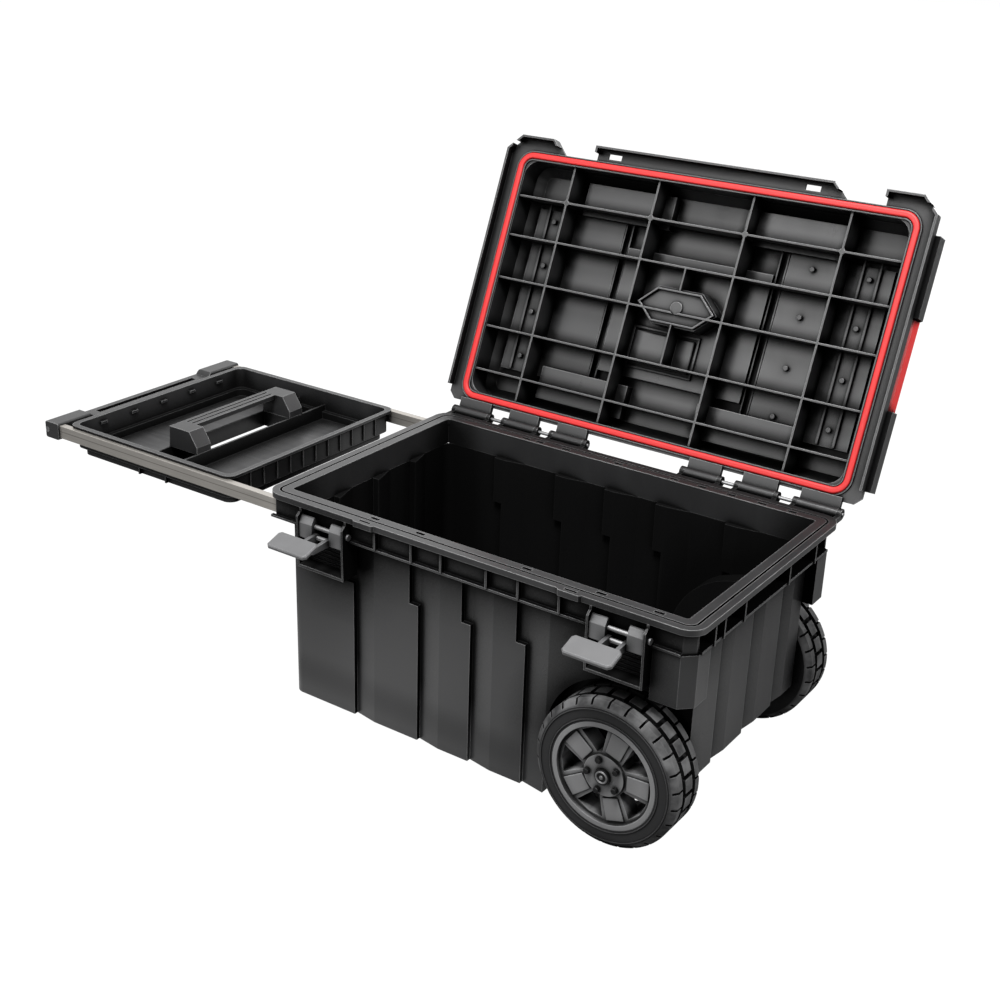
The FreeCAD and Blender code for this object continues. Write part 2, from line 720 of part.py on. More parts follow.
def tray_shell():
    wall = TRAY_WALL
    x0 = tray_x0 + TRAY_OVERHANG
    x1 = tray_x1 - TRAY_OVERHANG
    half = (x1 - x0) / 2
    centre = Vec(tray_mid, 0, 0)
    body = block(half, tray_half, tray_floor, tray_z, TRAY_CORNER)
    flange = block(TRAY_LENGTH / 2, rail_in + TRAY_SEAT, tray_z - TRAY_FLANGE, tray_z, TRAY_CORNER)
    step = tray_floor + TRAY_LEDGE_RISE
    upper = block(half - wall, tray_half - wall, step, tray_z, TRAY_CORNER - wall)
    inset = wall + TRAY_LEDGE
    lower = block(half - inset, tray_half - inset, tray_floor + wall, step, TRAY_CORNER - wall)
    tray = body.fuse(flange).cut([upper, lower])
    under = block(half, tray_half, tray_floor, step - wall, TRAY_CORNER)
    under = under.cut(block(half - TRAY_LEDGE, tray_half - TRAY_LEDGE, tray_floor, step - wall, TRAY_CORNER))
    tray = tray.cut(under)
    spine = SPINE_WIDTH / 2
    top = tray_floor + DIVIDER_HEIGHT
    deep = tray_half - wall
    walls = [box(-spine, wall - spine, -deep, deep, tray_floor, top)]
    walls.append(box(spine - wall, spine, -deep, deep, tray_floor, top))
    for y0, y1 in ((HAND_HOLE_FRONT - wall, HAND_HOLE_FRONT), (HAND_HOLE_REAR, HAND_HOLE_REAR + wall)):
        walls.append(box(-spine, spine, y0, y1, tray_floor, top))
    nib_x, nib_y, nib_z = TRAY_NIB
    nib_top = tray_z - TRAY_NIB_DROP + nib_z
    for i in range(TRAY_NIB_COUNT):
        y = (i - (TRAY_NIB_COUNT - 1) / 2) * TRAY_NIB_PITCH
        nib = box(wall - half, wall - half + nib_y, y - nib_x / 2, y + nib_x / 2, nib_top - nib_z, nib_top)
        walls.append(nib)
    count = int((tray_half - TRAY_CORNER) / TRAY_RIB_PITCH)
    for i in range(-count, count + 1):
        y = i * TRAY_RIB_PITCH
        rib = TRAY_RIB / 2
        walls.append(box(half, half + TRAY_RIB, y - rib, y + rib, step, tray_z - TRAY_FLANGE))
    skirt = block(half, tray_half, tray_floor, tray_z, TRAY_CORNER)
    walls = [w.common(skirt) if w.BoundBox.XMax < half else w for w in walls]
    hole = box(wall - spine, spine - wall, HAND_HOLE_FRONT, HAND_HOLE_REAR, tray_floor, tray_floor + wall)
    tray = join(tray, *walls).cut(hole)
    return tray.translated(centre)


def tray_grip():
    """Bridge handle over the hand hole: two hollow end blocks and a grooved bar."""
    spine = SPINE_WIDTH / 2
    low = tray_floor + DIVIDER_HEIGHT
    high = tray_z + GRIP_RISE
    blocks = []
    front_block = (HAND_HOLE_FRONT - GRIP_BLOCK, HAND_HOLE_FRONT)
    rear_block = (HAND_HOLE_REAR, HAND_HOLE_REAR + GRIP_BLOCK)
    for y0, y1 in (front_block, rear_block):
        shape = [(-spine, low), (spine, low), (spine, low + GRIP_RISE), (spine / 2, high), (-spine + 2, high)]
        blocks.append(prism_y(shape, y0, y1))
    start = HAND_HOLE_FRONT
    end = HAND_HOLE_REAR
    left = 2 - spine
    bar = box(left, left + GRIP_BAR_WIDTH, start, end, high - GRIP_BAR_THICK, high)
    groove_x = (left + GRIP_GROOVE * 2, left + GRIP_BAR_WIDTH - GRIP_GROOVE * 3)
    grooves = [box(x, x + GRIP_GROOVE, start, end, high - GRIP_GROOVE, high) for x in groove_x]
    grip = join(*blocks, bar).cut(grooves)
    return grip.translated(Vec(tray_mid, 0, 0))


# Lid


def lid_outline():
    """The brim's plan, closed: front lobes and strip with a notch at each latch."""
    front = -lid_front
    points = [(-lid_x, front + LID_CHAMFER), (LID_CHAMFER - lid_x, front)]
    for side in (-1, 1):
        x = side * latch_x
        points += [(x - NOTCH_LEFT - NOTCH_FLARE, front), (x - NOTCH_LEFT, NOTCH_DEPTH - lid_front)]
        points += [(x + NOTCH_RIGHT, NOTCH_DEPTH - lid_front), (x + NOTCH_RIGHT, front)]
    points += [(lid_x - LID_CHAMFER, front), (lid_x, front + LID_CHAMFER)]
    points += [(lid_x, lid_rear - LID_REAR_CHAMFER), (lid_x - LID_REAR_CHAMFER, lid_rear)]
    points += [(LID_REAR_CHAMFER - lid_x, lid_rear), (-lid_x, lid_rear - LID_REAR_CHAMFER)]
    return points


def lid_lip():
    """Thin lip that hangs outside the rim along the front lobes, the strip and the ends."""
    low = brim_z - LIP_DROP
    plan = face(lid_outline())
    inner = plan.makeOffset2D(-LIP_THICK)
    ring = plan.cut(inner).extrude(Vec(0, 0, LIP_DROP)).translate(Vec(0, 0, low))
    far = 2 * lid_front
    clear = box(-half_l - LIP_GAP, half_l + LIP_GAP, -half_w - LIP_GAP, far, low, brim_z)
    behind = box(-far, far, lid_rear - 2 * LID_REAR_CHAMFER, far, low, brim_z)
    return ring.cut([clear, behind])


def centre_well(grow, z0, z1):
    """Long hexagonal well in the middle of the lid's top."""
    tip, shoulder, side = CENTRE_WELL
    tip += grow
    side += grow
    corners = [(-tip, 0), (-shoulder, -side), (shoulder, -side)]
    corners += [(tip, 0), (shoulder, side), (-shoulder, side)]
    return prism([(x, y + CENTRE_WELL_Y) for x, y in corners], z0, z1)


def lid_wells(grow):
    """The sunk fields of the lid's top; grown by a wall they show inside as raised steps."""
    top = lid_top
    half, y0, y1, depth = TOP_FIELD
    wells = [box(-half - grow, half + grow, y0 - grow, y1 + grow, top - depth - grow, top)]
    end, front, rear = SIDE_FIELD_INSET
    x0 = SIDE_FIELD_X - grow
    x1 = crown_x - end + grow
    side = box(x0, x1, front - crown_y - grow, crown_y - rear + grow, top - SIDE_FIELD_DEPTH - grow, top)
    wells += [side, swap_x(side)]
    x0, x1 = END_FIELD
    far = crown_y - END_FIELD_INSET
    near = far - END_FIELD_WIDTH
    for y_low, y_high in ((near, far), (-far, -near)):
        strip = box(x0 - grow, x1 + grow, y_low - grow, y_high + grow, top - END_FIELD_DEPTH - grow, top)
        wells += [strip, swap_x(strip)]
    wells.append(centre_well(grow, top - CENTRE_WELL_DEPTH - grow, top))
    return wells


def hinge_tabs():
    """Lid tabs with their knuckles."""
    tabs = []
    for start, end in hinge_tabs_x:
        web = box(start, end, seal_y + TAB_GAP, hinge_y, RIM_TOP + TAB_GAP, crown_z)
        tabs.append(web.fuse(rod_x(hinge_y, hinge_z, KNUCKLE_R, start, end)))
    return tabs + [swap_x(t) for t in tabs]


def lid_cavity():
    """The hollow of the lid, up to the panel."""
    corner = CROWN_CORNER - LID_WALL
    cavity = block(crown_x - LID_WALL, crown_y - LID_WALL, brim_z, panel_z, corner)
    inner_edges = [e for e in cavity.Edges if min(v.Z for v in e.Vertexes) > panel_z - 1]
    return cavity.makeChamfer(CROWN_CHAMFER, inner_edges)


def lid_shell():
    brim = prism(lid_outline(), brim_z, crown_z)
    crown = block(crown_x, crown_y, crown_z, lid_top, CROWN_CORNER)
    rim_edges = [e for e in crown.Edges if min(v.Z for v in e.Vertexes) > lid_top - 1]
    crown = crown.makeChamfer(CROWN_CHAMFER, rim_edges)
    cavity = lid_cavity()
    inside = [w.common(cavity) for w in lid_wells(LID_WALL)]
    pip = rod_z(0, CENTRE_WELL_Y, WELL_PIP_R, lid_top - CENTRE_WELL_DEPTH - LID_WALL - WELL_PIP, panel_z)
    seat = seal_ring(brim_z, brim_z + SEAL_SEAT)
    shell = join(brim, crown).cut(cavity)
    shell = join(shell, *inside, pip, lid_lip(), *hinge_tabs())
    length, width = LID_HOLE
    y0 = LID_HOLE_INSET - lid_front - width / 2
    hole = box(-length / 2, length / 2, y0, y0 + width, brim_z, crown_z)
    holes = [hole.translated(Vec(side * LID_HOLE_X, 0, 0)) for side in (-1, 1)]
    far = lid_x
    bore = rod_x(hinge_y, hinge_z, HINGE_PIN_R + HINGE_FIT, -far, far)
    return shell.cut(lid_wells(0) + [seat, bore] + holes).removeSplitter()


def lid_ribs():
    """Rib grid inside the lid: whole ribs across, and short lengths between them."""
    cavity = lid_cavity()
    low = brim_z + LID_RIB_START - BRIM_GAP
    half = LID_RIB / 2
    across = fitting(LID_RIBS_X, crown_x)
    along = fitting(LID_RIBS_Y, crown_y)
    ribs = [box(x - half, x + half, -crown_y, crown_y, low, panel_z) for x in across]
    bosses = [rod_z(x, along[0], LID_BOSS_R, low, panel_z) for x in across]
    ribs = [join(r, b) for r, b in zip(ribs, bosses)]
    stops = [-crown_x] + across + [crown_x]
    for y in along:
        for x0, x1 in zip(stops, stops[1:]):
            ribs.append(box(x0 + half, x1 - half, y - half, y + half, low, panel_z).cut(bosses))
    wells = lid_wells(LID_WALL)
    wells.append(rod_z(0, CENTRE_WELL_Y, WELL_PIP_R, low, panel_z))
    return group(*[r.common(cavity).cut(wells) for r in ribs])


def seal_ring(z0, z1):
    outer = block(seal_x, seal_y, z0, z1, SEAL_CORNER)
    w = SEAL_WIDTH
    return outer.cut(block(seal_x - w, seal_y - w, z0, z1, SEAL_CORNER - w))


def lid_gasket():
    return seal_ring(RIM_TOP + SEAL_GAP, brim_z + SEAL_SEAT)


def clip_pivot():
    """Where the wheel-end clip's pin runs, as x and z."""
    return lid_x - CLIP_PIVOT_IN, crown_z + CLIP_PIVOT_UP


def clip_bracket():
    """Black brackets on both sides of the wheel-end clip."""
    x1 = lid_x + BRACKET_PROUD
    z1 = crown_z + BRACKET_HEIGHT
    c = BRACKET_CHAMFER
    side = [(crown_x, crown_z), (x1, crown_z), (x1, z1 - 2 * c), (x1 - c, z1), (crown_x, z1)]
    gap = CLIP_LENGTH / 2 + CLIP_GAP
    front = prism_y(side, BRACKET_FRONT_INSET - crown_y, CLIP_Y - gap)
    rear = prism_y(side, CLIP_Y + gap, crown_y - BRACKET_REAR_INSET)
    x, z = clip_pivot()
    bore = rod_y(x, z, CLIP_PIN_R + PIN_SEAT, CLIP_Y - gap - CLIP_PIN_SEAT, CLIP_Y + gap + CLIP_PIN_SEAT)
    return group(front.cut(bore), rear.cut(bore))


def end_clip():
    """Red clip bar with a barrel on the pin and a hooked top."""
    x, z = clip_pivot()
    half = CLIP_LENGTH / 2
    out = lid_x + CLIP_PROUD
    back = out - CLIP_THICK
    low = z - CLIP_BARREL_R
    high = low + CLIP_HEIGHT
    plate = [(x, low), (out, z + CLIP_HEEL), (out, high - 6), (out - 4, high), (back - 6, high)]
    plate += [(back - 6, high - 5), (back, high - 5), (back, z + CLIP_BARREL_R), (x, z + CLIP_BARREL_R)]
    barrel = rod_y(x, z, CLIP_BARREL_R, CLIP_Y - half, CLIP_Y + half)
    clip = join(prism_y(plate, CLIP_Y - half, CLIP_Y + half), barrel)
    return clip.cut(rod_y(x, z, CLIP_PIN_R + HINGE_FIT, CLIP_Y - half, CLIP_Y + half))


def clip_pin():
    x, z = clip_pivot()
    reach = CLIP_LENGTH / 2 + CLIP_GAP + CLIP_PIN_SEAT
    return rod_y(x, z, CLIP_PIN_R, CLIP_Y - reach, CLIP_Y + reach)


def swung_open(solid):
    return solid.rotated(Vec(0, hinge_y, hinge_z), X_AXIS, -LID_OPEN)


# Latches, drawn about x = 0


def latch_spot(offset):
    """A point given as (outwards, up) from the latch's axle."""
    return pivot_y + offset[0], pivot_z + offset[1]


def latch_arms():
    """Two block arms that swing on the axle and hold the lower rod."""
    lower_y, lower_z = latch_spot(LOWER_ROD)
    side = [latch_spot(c) for c in ARM_SIDE + ARM_FRONT]
    x1 = LATCH_SPAN / 2 - CHEEK - ARM_GAP
    arm = prism_x(side, x1 - ARM_WIDTH, x1)
    holes = [rod_x(pivot_y, pivot_z, ROD_R + HINGE_FIT, -x1, x1)]
    holes.append(rod_x(lower_y, lower_z, ROD_R + PIN_SEAT, -x1, x1))
    arm = arm.cut(holes)
    return group(arm, swap_x(arm))


def latch_rod():
    """Lower rod, held in the arms; the flap turns on it."""
    y, z = latch_spot(LOWER_ROD)
    x1 = LATCH_SPAN / 2 - CHEEK - 2 * ARM_GAP
    return rod_x(y, z, ROD_R, -x1, x1)


def latch_axle():
    """Upper rod through both cheeks, with a round head outside each."""
    half = LATCH_SPAN / 2
    head = rod_x(pivot_y, pivot_z, ROD_END_R, half, half + ROD_END)
    return join(rod_x(pivot_y, pivot_z, ROD_R, -half, half), head, swap_x(head))


def latch_flap():
    """Finger flap on two bent lugs that turn on the lower rod."""
    y, z = latch_spot(LOWER_ROD)
    half = FLAP_WIDTH / 2
    c = FLAP_CORNER
    plan = [(-half, -c), (c - half, 0), (half - c, 0), (half, -c)]
    plan += [(half, c - FLAP_LENGTH), (half - c, -FLAP_LENGTH)]
    plan += [(c - half, -FLAP_LENGTH), (-half, c - FLAP_LENGTH)]
    plate = prism(plan, -FLAP_THICK / 2, FLAP_THICK / 2)
    top_edges = [e for e in plate.Edges if min(v.Z for v in e.Vertexes) > 0]
    plate = plate.makeChamfer(FLAP_THICK / 3, top_edges)
    inner = LATCH_SPAN / 2 - CHEEK - ARM_GAP - ARM_WIDTH - ARM_GAP
    skirt = [(0, -FLAP_THICK), (-FLAP_LENGTH + c, -FLAP_SKIRT + c), (-FLAP_LENGTH + c, 0), (0, 0)]
    web = prism_x(skirt, inner - FLAP_LUG, inner)
    plate = join(plate, web, swap_x(web))
    plate = plate.rotated(ORIGIN, X_AXIS, FLAP_DROOP).translated(Vec(0, -FLAP_OUT, FLAP_UP))
    ring = rod_x(0, 0, FLAP_LUG_R, inner - FLAP_LUG, inner)
    knee = FLAP_SKIRT - FLAP_OUT
    bend = [(0, -FLAP_LUG_R), (0, FLAP_LUG_R), (knee, FLAP_THICK / 2), (-FLAP_OUT, FLAP_UP)]
    bend += [(-FLAP_OUT - FLAP_SKIRT, FLAP_UP - 1.5 * FLAP_THICK), (knee, -FLAP_LUG_R)]
    lug = prism_x(bend, inner - FLAP_LUG, inner)
    flap = join(plate, ring, lug, swap_x(ring), swap_x(lug))
    flap = flap.cut(rod_x(0, 0, ROD_R + HINGE_FIT, -inner, inner))
    return flap.translated(Vec(0, y, z))


def around(solid, count):
    """Copies of a piece turned about the front axle."""
    centre = Vec(axle_x, 0, axle_z)
    return [solid.rotated(centre, Y_AXIS, 360 * i / count) for i in range(count)]


def tyre():
    """Tyre with shoulder blocks, a groove inside them and wide middle blocks."""
    r = WHEEL_RADIUS
    s = TYRE_SHOULDER
    bead = r - TYRE_WALL
    profile = [(bead, -wheel_face), (r - s, -wheel_face), (r, s - wheel_face), (r, -wheel_back - s)]
    profile += [(r - s, -wheel_back), (bead, -wheel_back)]
    ring = face(profile)
    ring.Placement = FreeCAD.Placement(Vec(axle_x, 0, axle_z), FreeCAD.Rotation())
    body = ring.revolve(Vec(axle_x, 0, axle_z), Y_AXIS, 360)
    low = r - TREAD_DEPTH
    slot = box(-TREAD_SLOT / 2, TREAD_SLOT / 2, -wheel_face, TREAD_SHOULDER - wheel_face, low, r + 1)
    slot = slot.translated(Vec(axle_x, 0, axle_z))
    inner = slot.mirror(Vec(0, -(wheel_face + wheel_back) / 2, 0), Y_AXIS)
    front = TREAD_SHOULDER - wheel_face
    middle = box(-TREAD_SLOT, TREAD_SLOT, front, -wheel_back - TREAD_SHOULDER, low, r + 1)
    middle = middle.translated(Vec(axle_x, 0, axle_z))
    middle = middle.rotated(Vec(axle_x, 0, axle_z), Y_AXIS, 180 / TREAD_COUNT)
    cuts = around(slot, TREAD_COUNT) + around(inner, TREAD_COUNT) + around(middle, TREAD_COUNT)
    for y0 in (TREAD_SHOULDER - wheel_face, -wheel_back - TREAD_SHOULDER - TREAD_GROOVE):
        groove = rod_y(axle_x, axle_z, r + 1, y0, y0 + TREAD_GROOVE)
        cuts.append(groove.cut(rod_y(axle_x, axle_z, low, y0, y0 + TREAD_GROOVE)))
    return body.cut(cuts)


def wheel_rim():
    """Dished rim with five broad spokes, five windows and a raised hub ring."""
    outer = WHEEL_RADIUS - TYRE_WALL
    ring = rod_y(axle_x, axle_z, outer, -wheel_face, -wheel_back)
    ring = ring.cut(rod_y(axle_x, axle_z, outer - RIM_RING, -wheel_face, -wheel_back))
    face_y = RIM_DISH - wheel_face
    disc = rod_y(axle_x, axle_z, outer, face_y, face_y + SPOKE_DEPTH)
    far = outer - RIM_RING - WINDOW_EDGE
    window = [(-WINDOW_NARROW / 2, WINDOW_INNER), (WINDOW_NARROW / 2, WINDOW_INNER)]
    window.append((WINDOW_WIDE / 2, far - 4))
    window += [(0, far), (-WINDOW_WIDE / 2, far - 4)]
    window = prism_y(window, face_y, face_y + SPOKE_DEPTH).translated(Vec(axle_x, 0, axle_z))
    window = window.rotated(Vec(axle_x, 0, axle_z), Y_AXIS, WINDOW_TURN)
    disc = disc.cut(around(window, SPOKE_COUNT))
    hub = rod_y(axle_x, axle_z, HUB_R, face_y, -wheel_back)
    boss = rod_y(axle_x, axle_z, HUB_RING_R, face_y - HUB_RING, face_y)
    bore = rod_y(axle_x, axle_z, AXLE_R + BUSH_WALL, face_y - HUB_RING, -wheel_back)
    bolts = around(wheel_bolt(), SPOKE_COUNT)
    return join(ring, disc, hub, boss).cut([bore] + bolts).removeSplitter()


def wheel_bolt():
    """One of the bolts round the hub, sunk half its head into the hub ring."""
    y0 = RIM_DISH - wheel_face - HUB_RING - BOLT_HEAD / 2
    spot = rod_y(axle_x, axle_z, BOLT_R, y0, y0 + BOLT_HEAD)
    return spot.translated(Vec(0, 0, BOLT_CIRCLE_R)).rotated(Vec(axle_x, 0, axle_z), Y_AXIS, WINDOW_TURN)


def wheel_bush():
    face_y = RIM_DISH - wheel_face - HUB_RING
    sleeve = rod_y(axle_x, axle_z, AXLE_R + BUSH_WALL, face_y, -wheel_back)
    return sleeve.cut(rod_y(axle_x, axle_z, AXLE_R + AXLE_FIT, face_y, -wheel_back))


def axle():
    """Stub axle through the arch wall, with a collar behind the wheel."""
    seat = -arch_y
    end = RIM_DISH - wheel_face - HUB_RING - CAP_THICK
    shaft = rod_y(axle_x, axle_z, AXLE_R, end, seat + WALL + AXLE_BOSS + NUT_THICK)
    collar = rod_y(axle_x, axle_z, AXLE_COLLAR_R, seat - AXLE_COLLAR, seat)
    return join(shaft, collar)


def axle_nut():
    seat = WALL + AXLE_BOSS - arch_y
    radius = NUT_FLATS / math.sqrt(3)
    corners = [(radius * math.cos(math.pi * i / 3), radius * math.sin(math.pi * i / 3)) for i in range(6)]
    nut = prism_y(corners, seat, seat + NUT_THICK).translated(Vec(axle_x, 0, axle_z))
    return nut.cut(rod_y(axle_x, axle_z, AXLE_R + PIN_SEAT, seat, seat + NUT_THICK))


def axle_cap():
    """Ring and eye pressed on the axle's outer end."""
    inner = RIM_DISH - wheel_face - HUB_RING - AXLE_FIT
    end = RIM_DISH - wheel_face - HUB_RING - CAP_THICK
    ring = rod_y(axle_x, axle_z, CAP_R, end, inner).cut(rod_y(axle_x, axle_z, AXLE_R + PIN_SEAT, end, inner))
    lid = rod_y(axle_x, axle_z, CAP_R, end - CAP_EYE, end)
    eye = rod_y(axle_x, axle_z, CAP_EYE_R, end - CAP_EYE, end - CAP_EYE / 2)
    return join(ring, lid).cut(eye)


def front_and_rear(name, solid):
    return {name + "_front": solid, name + "_rear": swap_y(solid)}


def left_and_right(name, solid):
    """A latch piece at both latches."""
    places = (("left", -latch_x), ("right", latch_x))
    return {name + "_" + end: solid.translated(Vec(x, 0, 0)) for end, x in places}


def both_ends(name, solid):
    """A lid or hinge piece at the wheel end (right) and its mirror at the handle end (left)."""
    return {name + "_right": solid, name + "_left": swap_x(solid)}


def all_pieces():
    pieces = {"tub_shell": tub_shell(), "tub_floor": tub_floor(), "skid_runners": skid_runners()}
    pieces["rim_frame"] = rim_frame()
    pieces["lid_shell"] = swung_open(lid_shell())
    pieces["lid_ribs"] = swung_open(lid_ribs())
    pieces["lid_gasket"] = swung_open(lid_gasket())
    pieces.update(both_ends("hinge_pin", hinge_pin()))
    pieces.update(both_ends("clip_bracket", swung_open(clip_bracket())))
    pieces.update(both_ends("end_clip", swung_open(end_clip())))
    pieces.update(both_ends("clip_pin", swung_open(clip_pin())))
    pieces["crossbar"] = crossbar()
    pieces["crossbar_screws"] = group(screw(0), swap_y(screw(0)))
    pieces["tray_shell"] = tray_shell()
    pieces["tray_grip"] = tray_grip()
    for name, make in (("rail_guide", rail_guide), ("rail", rail), ("rail_plug", rail_plug), ("tyre", tyre)):
        pieces.update(front_and_rear(name, make()))
    hub = (("wheel_rim", wheel_rim), ("wheel_bush", wheel_bush), ("axle", axle), ("axle_nut", axle_nut))
    for name, make in hub:
        pieces.update(front_and_rear(name, make()))
    pieces.update(front_and_rear("axle_cap", axle_cap()))
    pieces.update(front_and_rear("wheel_bolts", group(*around(wheel_bolt(), SPOKE_COUNT))))
    for name, make in (("latch_seat", latch_seat), ("latch_axle", latch_axle), ("latch_arms", latch_arms)):
        pieces.update(left_and_right(name, make()))
    for name, make in (("latch_rod", latch_rod), ("latch_flap", latch_flap)):
        pieces.update(left_and_right(name, make()))
    return pieces


os.makedirs("parts", exist_ok=True)
for node, piece in all_pieces().items():
    whole = group(piece) if len(piece.Solids) > 1 else piece.Solids[0]
    if not whole.isValid():
        print("not valid:", node)
    whole.exportStep("parts/" + node + ".step")
    print(node, len(piece.Solids), round(whole.Volume / 1000, 1), "cm3")
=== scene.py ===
"""Looks of the wheeled jobsite storage box: moulded plastic, red seal, drawn aluminium rails, treaded wheels.

Metres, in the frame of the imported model. +X points to the wheels, -Y to the latches, +Z up.
"""
import json
import math

import bmesh
import bpy
from mathutils import Matrix, Vector


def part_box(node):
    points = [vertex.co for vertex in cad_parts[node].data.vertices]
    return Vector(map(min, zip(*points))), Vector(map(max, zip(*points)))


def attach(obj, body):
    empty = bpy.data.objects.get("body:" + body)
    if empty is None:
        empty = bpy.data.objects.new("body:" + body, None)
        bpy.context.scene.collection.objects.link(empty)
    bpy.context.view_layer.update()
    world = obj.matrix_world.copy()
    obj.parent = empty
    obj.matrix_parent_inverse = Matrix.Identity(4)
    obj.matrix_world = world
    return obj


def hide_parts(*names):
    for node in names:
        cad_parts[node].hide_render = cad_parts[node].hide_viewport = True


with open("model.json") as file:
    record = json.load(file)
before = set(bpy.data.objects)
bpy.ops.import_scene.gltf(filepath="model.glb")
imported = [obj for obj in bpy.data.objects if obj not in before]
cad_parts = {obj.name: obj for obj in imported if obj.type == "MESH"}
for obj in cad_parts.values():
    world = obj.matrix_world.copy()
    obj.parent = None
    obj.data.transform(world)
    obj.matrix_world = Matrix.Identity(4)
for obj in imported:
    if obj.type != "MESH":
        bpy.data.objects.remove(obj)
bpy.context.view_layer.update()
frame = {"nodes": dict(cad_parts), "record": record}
nodes = frame["nodes"]
scene = bpy.context.scene

# Camera, fitted to the photograph
CAMERA_PLACE = (0.94597, -1.50917, 1.0834)
CAMERA_AZIMUTH = 34.23
CAMERA_ELEVATION = 23.38
CAMERA_ROLL = 1.87
CAMERA_LENS = 53.78
CAMERA_SENSOR = 36.0
CAMERA_FAR = 50.0

# Lamps: name, place, target, size and power
LAMPS = (
    ("top", (0.1, -1.0, 3.1), (0.0, 0.0, 0.2), 1.0, 180.0),
    ("front", (-0.3, -3.0, 0.5), (0.0, 0.0, 0.2), 1.0, 10.0),
    ("back", (-1.7, 2.5, 1.9), (0.0, 0.0, 0.3), 1.8, 4.0),
    ("left", (-0.95, -1.8, 1.65), (0.0, 0.3, 0.5), 1.2, 17.0),
    ("rear", (0.5, 3.0, 0.9), (0.0, 0.2, 0.4), 1.5, 30.0),
    ("right", (2.6, 0.5, 1.2), (0.3, 0.1, 0.4), 1.2, 40.0),
)

# Surroundings and floor
WHITE = (1.0, 1.0, 1.0)
WORLD_TINT = (0.95, 0.97, 1.0)
WORLD_STRENGTH = 0.1
FLOOR_SIZE = 12.0
FLOOR_LEVEL = -0.0005
FLOOR_GREY = (0.12, 0.12, 0.12)
FLOOR_ROUGH = 0.9
FLOOR_GLOW = 1.25
FLOOR_SEEN = 0.82

# Bright parts of the floor round the box: place and reach
FLOOR_POOLS = (((-0.22, -0.32, 0.0), 0.44), ((0.75, -0.05, 0.0), 0.45), ((0.0, 0.62, 0.0), 0.42))
FLOOR_POOL_FALL = 2.6

# Detail pieces: lengths in metres, angles in radians
WELD = 0.00001
SAME_LEVEL = 1e-6
SHARP_ANGLE = math.radians(35)
BEAD_SIDES = 8
EDGE_SOFT = 0.0008
SPOKES = 5
SPOKE_START = 0.030
SPOKE_END = 0.060
SPOKE_HALF = (0.0105, 0.0125)
SPOKE_RISE = 0.0022
SPOKE_SINK = 0.006
SIDEWALL_RINGS = (0.0735, 0.0865)
SIDEWALL_BEAD = 0.0011
SIDEWALL_STEPS = 96
NUT_SIDES = 6
NUT_RADIUS = 0.0042
NUT_HEIGHT = 0.0035
NUT_CIRCLE = 0.0215
WINDOW_TURN = math.radians(36.0)
LID_TILE = (-0.066, 0.028, 0.032, 0.080)
LID_TILE_GAP = 0.0032
LID_TILE_FRAME = 0.0035
LID_FIELD_LEVEL = 0.352
LID_TILE_RISE = 0.005
LID_TILE_SOFT = 0.0018
LID_FRAME_RISE = 0.0035
LID_PANEL_LEVEL = 0.3645
LID_RIB_LEVEL = 0.316
LID_RIDGES_X = (-0.129, -0.118, 0.118, 0.129)
LID_RIDGE = (0.0022, 0.150, 0.009)
LID_MID_RIB = ((-0.063, -0.030), (0.018, 0.075))
LID_MID_RIB_WIDTH = 0.0024
LID_BARS_X = (-0.262, -0.238, 0.238, 0.262)
LID_BAR = (0.0035, 0.130, 0.003)
LID_BAR_LEVEL = 0.354
LID_PIPS_X = (-0.250, 0.250, 0.168)
LID_PIPS_Y = (-0.098, -0.031, 0.040, 0.108)
LID_PIP = (0.0036, 0.004)
LID_PIP_SIDES = 20
HEX_TIP = 0.060
HEX_SHOULDER = 0.034
HEX_SIDE = 0.024
HEX_MIDDLE = -0.0065
HEX_LEVEL = 0.321
HEX_WALL = 0.0022
HEX_RISE = 0.0048
HEX_RING = (0.0085, 0.0016)
HEX_RING_STEPS = 32
SEAL_HALF = (0.3115, 0.1885)
SEAL_WIDTH = 0.009
SEAL_CORNER = 0.024
SEAL_ROUND = 0.0026
SEAL_SHARP_ANGLE = math.radians(50)
SEAL_FLAT_ANGLE = 0.01
LIP_WIDTH = 0.0016
LIP_GAP = 0.0008
LIP_LEVEL = 0.3145
LIP_RISE = 0.002
AXLE_RING = (0.0072, 0.0013)
AXLE_RING_STEPS = 40
AXLE_PIN = (0.0026, 0.0016)
AXLE_PIN_SIDES = 16

# The tray's bays are scuffed, and carry a painted sheen, up to this level
SCUFF_AND_SHEEN_RISE = 0.005
TRAY_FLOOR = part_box("tray_shell")[0][2] + SCUFF_AND_SHEEN_RISE

# Painted shade in corners and under overhangs: reach and gain
TUB_CREVICE_SHADE = (0.08, 5.0)
TRAY_CREVICE_SHADE = (0.04, 3.2)
LID_CREVICE_SHADE = (0.02, 2.6)
SMALL_CREVICE_SHADE = (0.014, 2.6)
TYRE_CREVICE_SHADE = (0.023, 2.6)
CREVICE_SAMPLES = 8
CREVICE_SHADE_DEPTH = 0.92
PAINTED_SHADE_BLACK = (0.003, 0.003, 0.003)
PAINTED_SHADE_ROUGH = 0.95

# The tub's painted crevice shade fades out towards the floor: level and gain
PAINTED_SHADE_FROM = 0.02
PAINTED_SHADE_FADE = 13.0

# Painted shade: the inside of the tub is darkened with matte black, and its edge wear and highlight are
# fainter
INSIDE_SHARP = 40.0
INSIDE_SHADE = 0.9
INSIDE_WEAR_AND_HIGHLIGHT = 0.25

